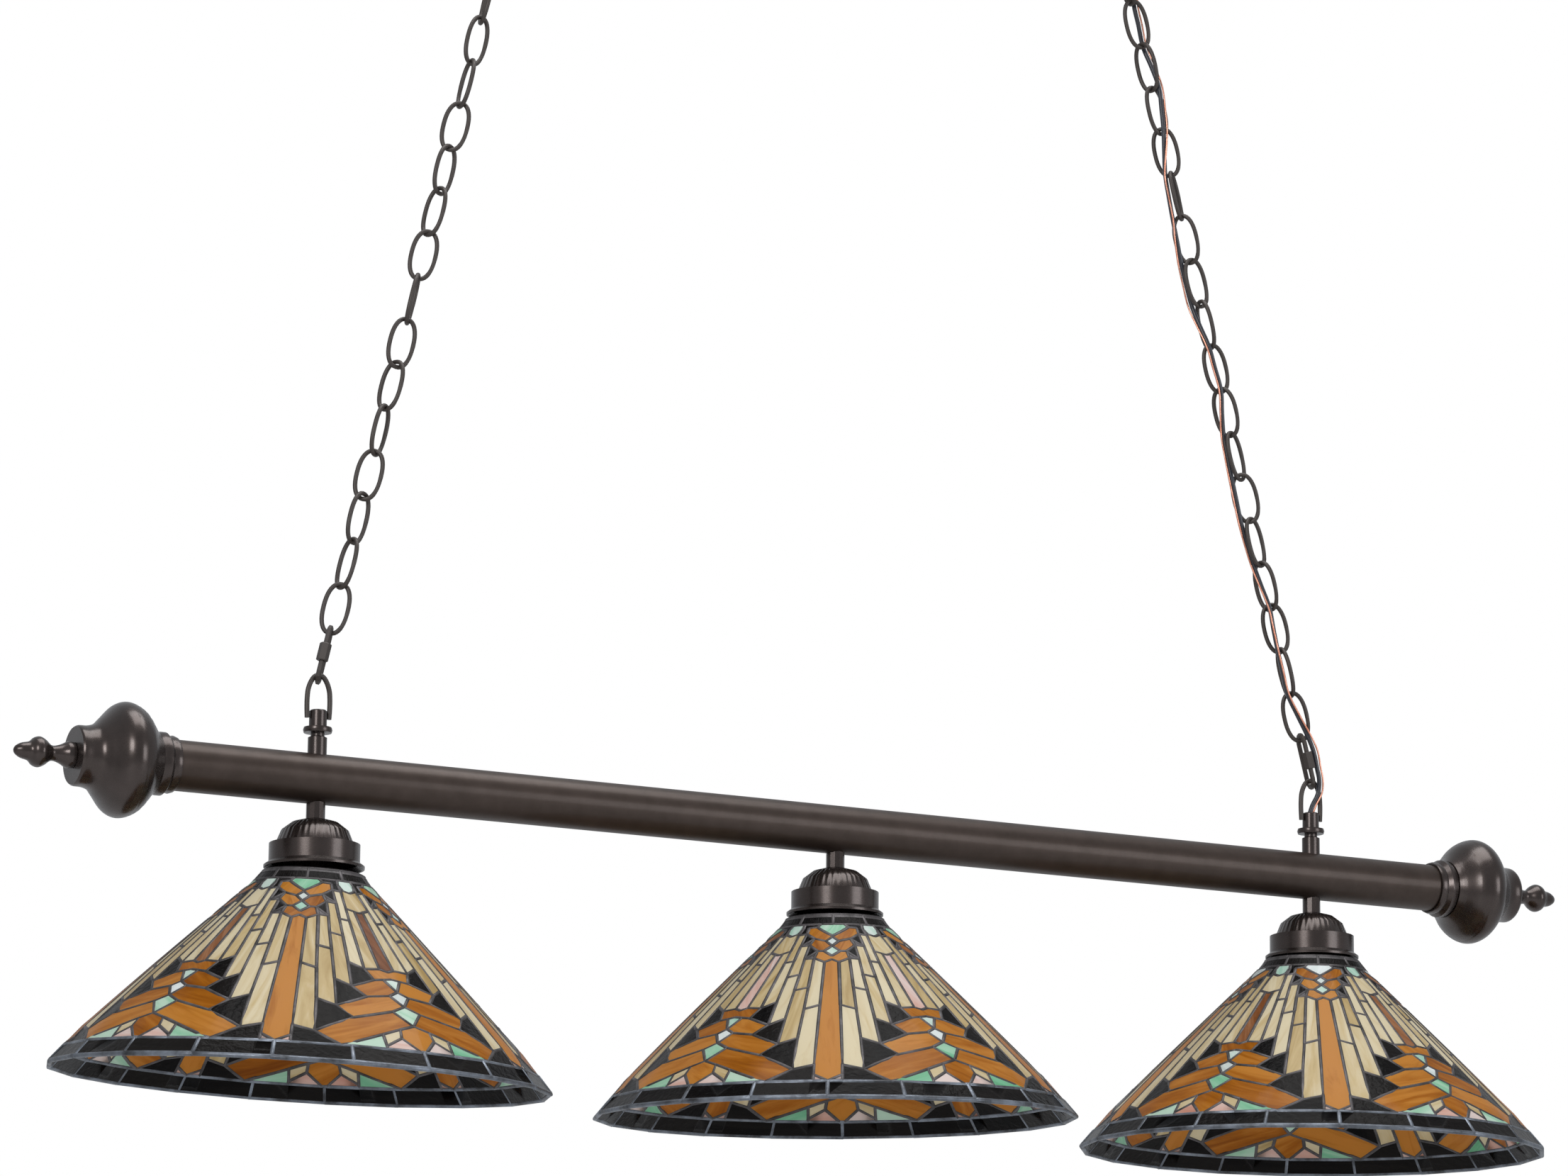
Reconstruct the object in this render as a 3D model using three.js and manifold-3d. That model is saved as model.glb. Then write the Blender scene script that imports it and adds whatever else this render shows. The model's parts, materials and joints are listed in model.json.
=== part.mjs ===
// Pool table lamp: a long bar hung on two chains from the ceiling, carrying three leaded glass shades.
// Millimetres, +Z up, +X along the bar. The origin is on the ceiling plane, above the middle of the bar.
// Heights inside the lamp group are measured from the bar's centre line.
import * as THREE from 'three';
import { mergeVertices } from 'three/addons/utils/BufferGeometryUtils.js';
import Module from 'manifold-3d';

const wasm = await Module();
wasm.setup();

// ---- driving dimensions -----------------------------------------------------------------------
const barDrop = 875;             // ceiling to the bar's centre line
const barRadius = 20.6;
const barWall = 2;
const barHalfLength = 603;
const overallHalfLength = 738;   // to the tip of each finial
const shadeSpacing = 477.7;
const gap = 0.3;                 // between pieces that touch
const hookHeight = 815;          // where each chain hangs from its ceiling loop
const hookX = { left: -310, right: 286 };

const stemRadius = 7.8;
const nippleRadius = 4.9;
const nippleBore = 3.2;
const nippleHole = 5.3;

const wireRadius = 1.9;          // chain link wire
const linkHalfWidth = 10.1;
const linksPerRun = [4, 4, 4, 3, 3];
// How far each link lies turned about its chain, from the top: 0 is in the bar's plane, 90 across it.
const linkTurns = {
  left: [90, 10, -55, 80, 17, 90, -28, 25, -66, -20, 62, -7, -60, 40, -28, 26, -77, -26],
  right: [90, -8, -72, 14, -38, 46, -54, 6, 90, -8, -56, 26, -32, 22, -70, -20, 84, -24],
};
const quickTurn = { left: 64, right: 76 };
const quickWire = 2.2;
const quickHalfLength = 23.8;
const quickHalfWidth = 7.5;
const bailWire = 2.1;
const bailHalfWidth = 10;
const bailPinHeight = 50;
const bailTopHeight = 85.8;
const loopRingRadius = 9;
const loopRingWire = 2.2;

const shadeSides = 20;
const shadeWall = 3;
const shades = [
  { side: 'left', x: -shadeSpacing, facing: -29, lean: 3.4, leanToward: 24 },
  { side: 'middle', x: 0, facing: -30, lean: 2.1, leanToward: -44 },
  { side: 'right', x: shadeSpacing, facing: -26, lean: 0.7, leanToward: 19 },
];
const shadeTop = -74.3;          // top plane of a shade that would hang straight
const shadeNeckReach = 42;       // a leaning shade hangs lower by its lean over this radius
const restDiscReach = 34;

const cordRadius = 2;
const groundRadius = 0.8;

// ---- finishes ---------------------------------------------------------------------------------
const finish = (color, roughness, metalness) => new THREE.MeshStandardMaterial({ color, roughness, metalness });
const bronze = () => finish(0x2b2320, 0.42, 0.75);
const chainBronze = () => finish(0x2e2724, 0.5, 0.7);
const steel = () => finish(0x9a9c9e, 0.35, 1);
const leadedGlass = () => finish(0xd98a3a, 0.25, 0);
const bulbGlass = () => finish(0xf2efe6, 0.3, 0);
const phenolic = () => finish(0x15120f, 0.4, 0);
const blackPlastic = () => finish(0x16161a, 0.5, 0);
const copper = () => finish(0xc8754f, 0.35, 1);

// ---- helpers ----------------------------------------------------------------------------------
const rad = THREE.MathUtils.degToRad;
const lamp = new THREE.Group();
lamp.position.z = -barDrop;
const model = new THREE.Group();
model.add(lamp);

function place(name, geometry, material, parent = lamp) {
  const mesh = new THREE.Mesh(geometry, material);
  mesh.name = name;
  parent.add(mesh);
  return mesh;
}

// A shape turned about +Z. The profile is [radius, height] pairs, anticlockwise seen with +Z up;
// it starts and ends on the axis, or is closed here when it keeps off the axis.
function turned(profile, segments = 20, start = 0) {
  const points = profile.map(([r, z]) => new THREE.Vector2(r, z));
  if (profile[0][0] > 0) points.push(points[0].clone());
  const geometry = new THREE.LatheGeometry(points, segments, rad(start), Math.PI * 2);
  return geometry.rotateX(Math.PI / 2);
}

const tube = (inner, outer, low, high, segments) =>
  turned([[inner, low], [outer, low], [outer, high], [inner, high]], segments);

const rod = (radius, low, high, segments) =>
  turned([[0, low], [radius, low], [radius, high], [0, high]], segments);

// A solid for cutting and joining, from a closed geometry with its shared vertices merged.
function solid(geometry) {
  const bare = geometry.clone();
  bare.deleteAttribute('normal');
  bare.deleteAttribute('uv');
  const merged = mergeVertices(bare, 1e-4);
  const vertProperties = new Float32Array(merged.attributes.position.array);
  const triVerts = new Uint32Array(merged.index.array);
  return new wasm.Manifold(new wasm.Mesh({ numProp: 3, vertProperties, triVerts }));
}

function shaped(body) {
  const mesh = body.getMesh();
  const geometry = new THREE.BufferGeometry();
  geometry.setAttribute('position', new THREE.BufferAttribute(mesh.vertProperties, 3));
  geometry.setIndex(new THREE.BufferAttribute(mesh.triVerts, 1));
  return geometry;
}

const joined = (...geometries) => shaped(geometries.map(solid).reduce((sum, next) => sum.add(next)));
const cut = (geometry, ...tools) => shaped(tools.map(solid).reduce((rest, tool) => rest.subtract(tool), solid(geometry)));

// A round wire along an open path, and one along a closed loop.
function wire(points, radius, sides, steps) {
  const section = new THREE.Shape();
  section.absarc(0, 0, radius, 0, Math.PI * 2);
  const extrudePath = new THREE.CatmullRomCurve3(points, false, 'centripetal');
  return new THREE.ExtrudeGeometry(section, { steps, extrudePath, bevelEnabled: false, curveSegments: sides / 2 });
}

// The centre line of an oval loop in the XZ plane: two straight sides, one step each, and two half
// circles of equal steps, so that both ends of the oval fall on a step.
const bendSteps = 6;
const ovalSteps = 2 * bendSteps + 2;

class OvalCurve extends THREE.Curve {
  constructor(halfLength, halfWidth) {
    super();
    this.straight = halfLength - halfWidth;
    this.halfWidth = halfWidth;
  }

  getPoint(t, target = new THREE.Vector3()) {
    const half = ovalSteps / 2;
    const step = (((t % 1) + 1) % 1) * ovalSteps;
    const mirrored = step >= half ? -1 : 1;
    const along = step % half;
    if (along < 1) {
      return target.set(this.halfWidth, 0, (2 * along - 1) * this.straight).multiplyScalar(mirrored);
    }
    const turn = Math.PI * (along - 1) / bendSteps;
    const x = this.halfWidth * Math.cos(turn);
    const z = this.straight + this.halfWidth * Math.sin(turn);
    return target.set(x, 0, z).multiplyScalar(mirrored);
  }

  getPointAt(u, target) {
    return this.getPoint(u, target);
  }

  getTangentAt(u, target) {
    return this.getTangent(u, target);
  }
}

const oval = (halfLength, halfWidth, radius, sides) =>
  new THREE.TubeGeometry(new OvalCurve(halfLength, halfWidth), ovalSteps, radius, sides, true);

// ---- bar --------------------------------------------------------------------------------------
const alongX = (geometry) => geometry.rotateY(Math.PI / 2);
const sideName = (sign) => (sign < 0 ? 'left' : 'right');

const barHoles = [
  ...shades.map(({ x }) => rod(nippleHole, -30, 0, 12).translate(x, 0, 0)),
  ...[-1, 1].map((sign) => rod(nippleHole, 0, 30, 12).translate(sign * shadeSpacing, 0, 0)),
];
const barTube = alongX(tube(barRadius - barWall, barRadius, -barHalfLength, barHalfLength, 24));
place('bar_tube', cut(barTube, ...barHoles), bronze());

// ---- bar ends: stepped collar, spun bell, threaded rod and finial --------------------------------
// Profiles run along the bar, measured outwards from the bar's middle.
function barEnd(sign) {
  const side = sideName(sign);
  const end = new THREE.Group();
  end.rotation.y = sign * Math.PI / 2;
  lamp.add(end);

  const collarStart = barHalfLength - 0.5;
  place(`${side}_end_collar`, turned([
    [barRadius + gap + 0.2, collarStart], [22.4, collarStart], [23.4, 605.5], [22.6, 609],
    [25.6, 612], [25.6, 616], [24.4, 618.7], [barRadius + gap + 0.2, 618.7],
  ], 16), bronze(), end);

  const wall = 1.4;
  const outside = [
    [25.3, 619.1], [28, 622], [41.2, 633], [45.8, 641.5], [46.6, 648], [43.8, 655], [33.6, 664.8],
    [27, 671.4], [24.8, 678], [24.3, 685.6], [23.2, 687.4],
  ];
  const inside = [
    [22.6, 685.9], [23.2, 677], [26, 669.8], [42.2, 654.2], [45, 648], [44.2, 642], [39.8, 634.2],
    [26.8, 623], [24, 619.1],
  ];
  const rodHole = 5.6;
  place(`${side}_end_bell`, turned([
    ...outside, [rodHole, 687.4], [rodHole, 687.4 - wall], ...inside,
  ], 16), bronze(), end);

  const plugRadius = barRadius - barWall - gap;
  place(`${side}_end_rod`, turned([
    [0, 575], [plugRadius, 575], [plugRadius, 590], [5, 590], [5, 702], [0, 702],
  ], 12), steel(), end);

  const rodBore = 5.4;
  place(`${side}_finial`, turned([
    [rodBore, 687.8], [10.4, 687.8], [10.8, 693], [7.6, 699], [6.2, 706], [10.6, 712.4], [12.4, 716.8],
    [11.2, 721.2], [7.9, 725], [6, 732], [3, 736.6], [0, overallHalfLength], [0, 702.4], [rodBore, 702.4],
  ], 12), bronze(), end);
}
[-1, 1].forEach(barEnd);

// ---- loop bases and wire bails on top of the bar -----------------------------------------------
const pinHole = 2.75;
const mouthRadius = 4.5;

function loopBase(sign) {
  const body = turned([
    [0, 16], [stemRadius, 16], [stemRadius, 34], [5.7, 35], [5.7, 37.6], [11.4, 38],
    [12, 40.2], [11.4, 42.4], [7.3, 43], [7.2, 55.8], [6.2, 56.8], [0, 56.8],
  ], 12);
  const saddle = alongX(tube(barRadius - barWall - gap, barRadius + gap, -20, 20, 24));
  const nipple = rod(nippleRadius, 12, 24, 10);
  const crossHole = alongX(rod(pinHole, -20, 20, 10)).translate(0, 0, bailPinHeight);
  const mouth = rod(mouthRadius, 53.6, 60, 12);
  const trimmed = solid(body).subtract(solid(saddle)).add(solid(nipple));
  const base = trimmed.subtract(solid(crossHole)).subtract(solid(mouth));
  place(`${sideName(sign)}_loop_base`, shaped(base).translate(sign * shadeSpacing, 0, 0), bronze());
}

// A bail: a straight pin through its base, with rounded corners, straight sides and an arched top.
function bail(sign) {
  const outline = new THREE.CurvePath();
  const corner = 3.2;
  const shoulder = bailTopHeight - 13;
  const arcAt = (cx, cz, rx, rz, from, to) => Array.from({ length: 7 }, (_, i) => {
    const angle = from + (to - from) * (i / 6);
    return new THREE.Vector3(cx + rx * Math.cos(angle), 0, cz + rz * Math.sin(angle));
  });
  const half = Math.PI / 2;
  const points = [
    new THREE.Vector3(0, 0, bailPinHeight),
    ...arcAt(bailHalfWidth - corner, bailPinHeight + corner, corner, corner, -half, 0).filter((_, i) => i % 2 === 0),
    ...arcAt(0, shoulder, bailHalfWidth, bailTopHeight - shoulder, 0, Math.PI),
    ...arcAt(corner - bailHalfWidth, bailPinHeight + corner, corner, corner, Math.PI, 3 * half)
      .filter((_, i) => i % 2 === 0),
  ];
  points.forEach((point, i) => {
    outline.add(new THREE.LineCurve3(point, points[(i + 1) % points.length]));
  });
  const ring = new THREE.TubeGeometry(outline, 26, bailWire, 6, true);
  place(`${sideName(sign)}_bail`, ring.translate(sign * shadeSpacing, 0, 0), chainBronze());
}
[-1, 1].forEach(loopBase);
[-1, 1].forEach(bail);

// ---- chains ------------------------------------------------------------------------------------
// Each chain runs straight from its ceiling hook down to its bail. Distances along it are measured
// from the hook; links lie in turn across the bar and along it, and touching links form a run.
const fiveSided = 1.12;          // a five-sided wire with the round wire's thickness
const touching = 2 * wireRadius - 0.9;
const clearing = (a, b) => (a + b) * fiveSided + gap;

function chain(sign) {
  const side = sideName(sign);
  const top = new THREE.Vector3(hookX[side], 0, hookHeight);
  const bottom = new THREE.Vector3(sign * shadeSpacing, 0, bailTopHeight);
  const down = bottom.clone().sub(top);
  const span = down.length();

  // The frame of the chain: its own -Z runs down the chain, and its own X stays in the bar's plane.
  const frame = new THREE.Group();
  frame.position.copy(top);
  frame.rotation.y = -Math.atan2(down.x, -down.z);
  lamp.add(frame);

  const firstRise = clearing(loopRingWire, wireRadius);
  const betweenRuns = clearing(wireRadius, wireRadius);
  const quickRise = clearing(wireRadius, quickWire);
  const bailRise = clearing(quickWire, bailWire) + 0.9;
  const linkCount = linksPerRun.reduce((sum, count) => sum + count, 0);
  const insideRuns = (linkCount - linksPerRun.length) * touching;
  const slack = firstRise + insideRuns + (linksPerRun.length - 1) * betweenRuns + quickRise + bailRise;
  const halfLength = (span + slack - 2 * quickHalfLength) / (2 * linkCount);

  const turns = linkTurns[side];
  let wireAt = -firstRise;
  let linkIndex = 0;
  linksPerRun.forEach((count, run) => {
    const links = [];
    for (let i = 0; i < count; i += 1) {
      const link = oval(halfLength, linkHalfWidth, wireRadius * fiveSided, 5);
      link.rotateZ(rad(turns[linkIndex]));
      links.push(link.translate(0, 0, -(wireAt + halfLength)));
      wireAt += 2 * halfLength - (i < count - 1 ? touching : betweenRuns);
      linkIndex += 1;
    }
    place(`${side}_chain_run_${run + 1}`, joined(...links), chainBronze(), frame);
  });
  wireAt += betweenRuns - quickRise;

  const quickCentre = -(wireAt + quickHalfLength);
  const threadGap = { low: 2, high: 6 };
  const loop = oval(quickHalfLength, quickHalfWidth, quickWire, 6);
  const opening = new THREE.BoxGeometry(8, 8, threadGap.high - threadGap.low)
    .translate(-quickHalfWidth, 0, (threadGap.high + threadGap.low) / 2);
  const quickFrame = new THREE.Group();
  quickFrame.position.z = quickCentre;
  quickFrame.rotation.z = rad(quickTurn[side]);
  frame.add(quickFrame);
  place(`${side}_quick_link`, cut(loop, opening), chainBronze(), quickFrame);

  const nut = turned([[quickWire + 0.4, -7.5], [4.6, -7.5], [5, -6.8], [5, 6.8], [4.6, 7.5], [quickWire + 0.4, 7.5]], 6);
  place(`${side}_sleeve_nut`, nut.translate(-quickHalfWidth, 0, 0), chainBronze(), quickFrame);
  return frame;
}
chain(-1);
const rightChain = chain(1);

// ---- lead cord and ground wire -------------------------------------------------------------------
// Both leave the right canopy through its side hole, weave through the links of the right chain and
// end in the mouth of the right loop base. Each point is [down the chain, along the bar, away].
const alongChain = ([down, along, away]) => new THREE.Vector3(along, away, -down);
const cordSteps = 84;

const leadRoute = [
  [-34, 28.5, 0], [-18, 24.5, 0], [-3, 17, 0], [16, 9.5, 2], [37, 4.6, 4.1], [57, 5, 5.2],
  [77, 5.4, 6.4], [97, 6.5, 2], [118, 5.8, -3.3], [137, 2.4, -4.8], [158, -1, -5], [176, -4, -3.2],
  [197, -6.8, -0.5], [217, -8, 0], [237, -8.8, 0.6], [257, -8.6, 2], [277, -8.3, 3.7],
  [297, -7.6, 4.8], [318, -6.4, 5.2], [337, -5.6, 0.8], [356, -4.6, -4], [376, -3.6, -4.2],
  [397, -2.7, -4.3], [417, -5, -1.2], [437, -6.7, 1.8], [457, -8.2, 1.4], [477, -9.3, 0.5],
  [496, -9.6, 0.6], [516, -9.9, 0.9], [536, -8, 2], [556, -5.8, 2.5], [576, -4.8, -0.6],
  [596, -3.6, -3.6], [615, -4.4, -3.4], [635, -4.9, -3.1], [655, -4.9, -3], [675, -4.9, -3],
  [695, -1, -5], [716, 3.4, -7.1], [730, 6.4, -6], [744, 6.6, -5], [756, 6, -4.9], [767, 2.6, -3],
  [776, -4.4, -0.8], [783.2, -9, 0],
];
const groundRoute = [
  [-34, 31.8, -1], [-18, 28, -1], [-3, 20.4, -1], [16, 13, 1], [37, 8.2, 3.4], [57, 8.5, 4.5],
  [77, 8.7, 5.5], [97, 9.6, 1], [118, 9.1, -3.9], [137, 5.4, -6.4], [158, 1.4, -7.4],
  [176, -4, -6.6], [197, -9, -3.2], [217, -9.8, -2.8], [237, -10.4, -2.4], [257, -11.6, 0.6],
  [277, -11.7, 3.6], [297, -11, 5], [318, -9.8, 6], [337, -8.9, 0.4], [356, -7.8, -5.3],
  [376, -6.6, -5.6], [397, -5.7, -6], [417, -8, -3], [437, -9.9, 0.8], [457, -11.4, 0.4],
  [477, -12.6, -0.1], [496, -12.9, 0], [516, -13.1, 0.1], [536, -11.3, 1.2], [556, -9.1, 1.6],
  [576, -7.8, -2.4], [596, -6, -5.9], [615, -6.2, -6.2], [635, -6.3, -6.3], [655, -6, -6.3],
  [675, -5.6, -6.4], [695, -1.2, -8.4], [716, 4.6, -10.4], [730, 8.8, -8.9], [744, 8.7, -7.7],
  [756, 7.9, -8], [767, 5.4, -5.6], [776, -1, -2.2], [784, -5.7, 0.2],
];
place('lead_cord', wire(leadRoute.map(alongChain), cordRadius, 8, cordSteps), blackPlastic(), rightChain);
place('ground_wire', wire(groundRoute.map(alongChain), groundRadius, 6, cordSteps), copper(), rightChain);

// ---- ceiling fittings ----------------------------------------------------------------------------
const canopyRadius = 63.5;
const canopyLow = 839;
const cordHoleRadius = 8.5;
const cordHoleX = 19;

function ceilingFitting(sign) {
  const side = sideName(sign);
  const fitting = new THREE.Group();
  fitting.position.x = hookX[side];
  lamp.add(fitting);

  const dish = turned([
    [nippleHole, canopyLow], [34, canopyLow], [50, 844.8], [60.5, 858], [canopyRadius, 871],
    [canopyRadius, barDrop], [canopyRadius - 1.6, barDrop], [canopyRadius - 1.6, 871.4], [58.8, 858.8],
    [49, 846.2], [33.8, canopyLow + 1.6], [nippleHole, canopyLow + 1.6],
  ], 20);
  const cordHole = rod(cordHoleRadius, 830, 850, 12).translate(cordHoleX, 0, 0);
  place(`${side}_canopy`, sign > 0 ? cut(dish, cordHole) : dish, bronze(), fitting);

  const ring = new THREE.TorusGeometry(loopRingRadius, loopRingWire, 6, 16)
    .rotateX(Math.PI / 2).translate(0, 0, hookHeight + loopRingRadius);
  const shank = turned([
    [0, 831.6], [6.4, 831.6], [6.4, 834], [nippleRadius, 834.4], [nippleRadius, 870], [0, 870],
  ], 12);
  place(`${side}_canopy_loop`, joined(ring, shank), bronze(), fitting);

  place(`${side}_lock_ring`, tube(nippleHole, 9.4, 835, canopyLow - gap, 12), bronze(), fitting);

  const bar = new THREE.BoxGeometry(100, 16, 2.5).translate(0, 0, barDrop - 1.25);
  const lug = rod(8, barDrop - 14, barDrop - 1, 12);
  const threads = rod(nippleHole, 850, 871.5, 12);
  const screwHoles = [-36, 36].map((x) => rod(2.4, 860, 880, 10).translate(x, 0, 0));
  const crossbar = [threads, ...screwHoles].reduce((rest, tool) => rest.subtract(solid(tool)), solid(bar).add(solid(lug)));
  place(`${side}_crossbar`, shaped(crossbar), steel(), fitting);
}
[-1, 1].forEach(ceilingFitting);

// ---- shade fittings, lamps and shades --------------------------------------------------------------
function pendant({ side, x, facing, lean, leanToward }) {
  const unit = new THREE.Group();
  unit.position.x = x;
  lamp.add(unit);

  const sleeve = cut(tube(nippleBore, stemRadius, -33, -12, 12), alongX(rod(barRadius + gap, -20, 20, 24)));
  const tip = Math.sin(rad(lean));
  const neckTop = shadeTop - tip * shadeNeckReach;
  const discTop = neckTop - 2.4 - tip * restDiscReach;
  const socketTop = discTop - 2.1;
  const nipple = tube(nippleBore, nippleRadius, socketTop - 6, -14, 10);
  place(`${side}_stem`, joined(sleeve, nipple), bronze(), unit);

  place(`${side}_fluted_cap`, turned([
    [nippleHole, -34.7], [9.5, -34.9], [18, -37.8], [26.4, -44.4], [30.4, -53.2], [31.6, -53.2],
    [27.4, -43], [18.8, -36.4], [9.8, -33.5], [nippleHole, -33.3],
  ], 16), bronze(), unit);

  place(`${side}_collar`, turned([
    [nippleHole, -55.2], [35.6, -55.2], [35.6, -69.4], [39.5, -73.6], [40.9, -73.6],
    [41, -71.6], [37, -68.6], [37, -53.8], [nippleHole, -53.8],
  ], 20), bronze(), unit);

  place(`${side}_rest_disc`, tube(nippleHole, 32, discTop - 1.6, discTop, 16), steel(), unit);

  const socketLow = socketTop - 46;
  place(`${side}_socket`, turned([
    [nippleHole, socketTop - 5], [15.2, socketTop - 10], [15.2, socketLow], [17.2, socketLow],
    [16.2, socketTop - 6], [11, socketTop], [nippleHole, socketTop],
  ], 16), phenolic(), unit);

  const bulbTop = socketTop - 16;
  place(`${side}_bulb`, turned([
    [0, bulbTop - 108], [13, bulbTop - 105.6], [24, bulbTop - 98], [30, bulbTop - 80], [27.4, bulbTop - 62],
    [16, bulbTop - 40], [13.2, bulbTop - 31], [13.2, bulbTop - 3], [6, bulbTop], [0, bulbTop],
  ], 14), bulbGlass(), unit);

  // The shade: a thin twenty-sided cone with a steeper border, and a flat ring at its top.
  const shade = new THREE.Group();
  shade.position.z = neckTop;
  const leanDirection = new THREE.Vector3(Math.sin(rad(leanToward)), -Math.cos(rad(leanToward)), 0);
  const up = leanDirection.multiplyScalar(tip);
  up.z = Math.cos(rad(lean));
  shade.quaternion.setFromUnitVectors(new THREE.Vector3(0, 0, 1), up);
  unit.add(shade);
  const w = shadeWall;
  place(`${side}_shade`, turned([
    [28, -2], [38, -2], [47 - w * 0.3, -11.5 - w * 0.7], [178 - w, -139.5], [201.5, -168.6], [204.5, -168.6],
    [178 + 0.6, -138.2], [48.6, -10.4], [40.4, 0], [28, 0],
  ], shadeSides, facing), leadedGlass(), shade);
}
shades.forEach(pendant);

// ---- wiring --------------------------------------------------------------------------------------
// The loom inside the bar: a trunk with a drop into each stem.
const loomRadius = 2.2;
const trunk = alongX(rod(loomRadius, -shadeSpacing - 10, shadeSpacing + 10, 8));
const drops = shades.map(({ x }) => rod(loomRadius * 0.9, -70, 0.5, 8).translate(x, 0, 0));
place('wiring_loom', joined(trunk, ...drops), blackPlastic());

export default model;
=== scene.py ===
"""Pool table lamp: a bronze bar on two chains with three leaded glass shades.

Lengths inside the classes are millimetres from the middle of the bar's centre line; LAMP turns them into
the frame's metres, whose origin is on the ceiling above the middle of the bar.
"""
from __future__ import annotations

import json
import logging
import math
import random
from dataclasses import dataclass
from enum import Enum
from typing import Sequence

import bmesh
import bpy
from mathutils import Matrix, Vector

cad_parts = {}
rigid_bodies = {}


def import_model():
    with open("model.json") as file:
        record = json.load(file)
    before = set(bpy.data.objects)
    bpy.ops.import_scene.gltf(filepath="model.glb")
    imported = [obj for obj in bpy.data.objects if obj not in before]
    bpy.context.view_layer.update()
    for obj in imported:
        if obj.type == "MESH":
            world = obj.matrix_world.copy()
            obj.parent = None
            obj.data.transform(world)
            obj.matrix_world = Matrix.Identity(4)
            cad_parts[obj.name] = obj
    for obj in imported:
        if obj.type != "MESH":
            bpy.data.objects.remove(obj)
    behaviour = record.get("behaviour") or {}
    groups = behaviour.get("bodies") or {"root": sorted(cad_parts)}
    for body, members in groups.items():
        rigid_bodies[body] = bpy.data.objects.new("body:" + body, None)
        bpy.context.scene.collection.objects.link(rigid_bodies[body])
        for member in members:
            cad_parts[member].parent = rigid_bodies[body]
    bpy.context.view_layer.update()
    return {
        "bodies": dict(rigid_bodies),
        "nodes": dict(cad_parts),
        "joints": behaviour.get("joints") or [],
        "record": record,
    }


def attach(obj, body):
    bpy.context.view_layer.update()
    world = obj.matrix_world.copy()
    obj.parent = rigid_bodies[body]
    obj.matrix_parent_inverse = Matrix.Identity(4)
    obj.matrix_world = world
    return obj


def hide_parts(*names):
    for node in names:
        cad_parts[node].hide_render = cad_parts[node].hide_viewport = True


log = logging.getLogger("pool_table_lamp")

MM = 0.001
BAR_DROP = 875.0
LAMP = Matrix.Translation((0, 0, -BAR_DROP * MM)) @ Matrix.Scale(MM, 4)
SHADE_SPACING = 477.7
LEFT_HOOK, RIGHT_HOOK = -310.0, 286.0

Profile = Sequence[tuple[float, float]]
Colour = tuple[float, float, float]


class Side(Enum):
    """Which end of the bar, or which of the three hanging places, a piece belongs to."""

    LEFT = "left"
    MIDDLE = "middle"
    RIGHT = "right"

    @property
    def x(self) -> float:
        """Distance along the bar of this side's stem."""
        return {"left": -SHADE_SPACING, "middle": 0.0, "right": SHADE_SPACING}[self.value]

    @property
    def sign(self) -> int:
        """-1 on the left, 1 on the right."""
        return -1 if self is Side.LEFT else 1


class Slot(Enum):
    """The record's material slots."""

    BRONZE = "bronze"
    CHAIN = "chain_bronze"
    STEEL = "steel"
    GLASS = "leaded_glass"
    BULB = "bulb_glass"
    HOLDER = "phenolic"
    CORD = "cord"
    WIRING = "wiring"
    COPPER = "copper"


class Glass(Enum):
    """The kinds of sheet glass, and the solder that fills narrow corners of the pattern."""

    AMBER = "amber"
    TAWNY = "tawny"
    CREAM = "cream"
    BLACK = "black"
    MINT = "mint"
    PALE_MINT = "pale_mint"
    PINK = "pink"
    PEARL = "pearl"
    FILL = "fill"


# ---- finishes --------------------------------------------------------------------------------------
@dataclass(frozen=True)
class MetalFinish:
    """A plated or painted metal.

    Attributes:
        name: Name of the material.
        deep: Colour in the hollows of its mottling.
        pale: Colour on the crests of its mottling.
        metallic: How metallic the coat is.
        smooth: Roughness where it is most polished.
        worn: Roughness where it is dullest.
        grain: Mottling spots per metre.
        dents: Depth of the fine unevenness, in metres.
        coat: Strength of the clear lacquer.
    """

    name: str
    deep: Colour
    pale: Colour
    metallic: float
    smooth: float
    worn: float
    grain: float
    dents: float
    coat: float


@dataclass(frozen=True)
class GlassFinish:
    """A sheet of streaky art glass.

    Attributes:
        name: Name of the material.
        deep: Darkest streak.
        body: The sheet's usual colour.
        pale: Lightest streak.
        streak: Streaks per metre across the grain.
        ripple: Ripples per metre in the surface.
        relief: Height of the ripples, in metres.
        smooth: Surface roughness.
        glow: How much light comes through from behind.
        shine: Strength of its mirror shine.
    """

    name: str
    deep: Colour
    body: Colour
    pale: Colour
    streak: float
    ripple: float
    relief: float
    smooth: float
    glow: float
    shine: float = 0.10


@dataclass(frozen=True)
class SheathFinish:
    """A moulded or sheathed plastic.

    Attributes:
        name: Name of the material.
        colour: Its colour.
        smooth: Its roughness.
        sheen: Strength of the soft surface sheen.
        grain: Fine bumps per metre.
    """

    name: str
    colour: Colour
    smooth: float
    sheen: float
    grain: float


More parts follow.
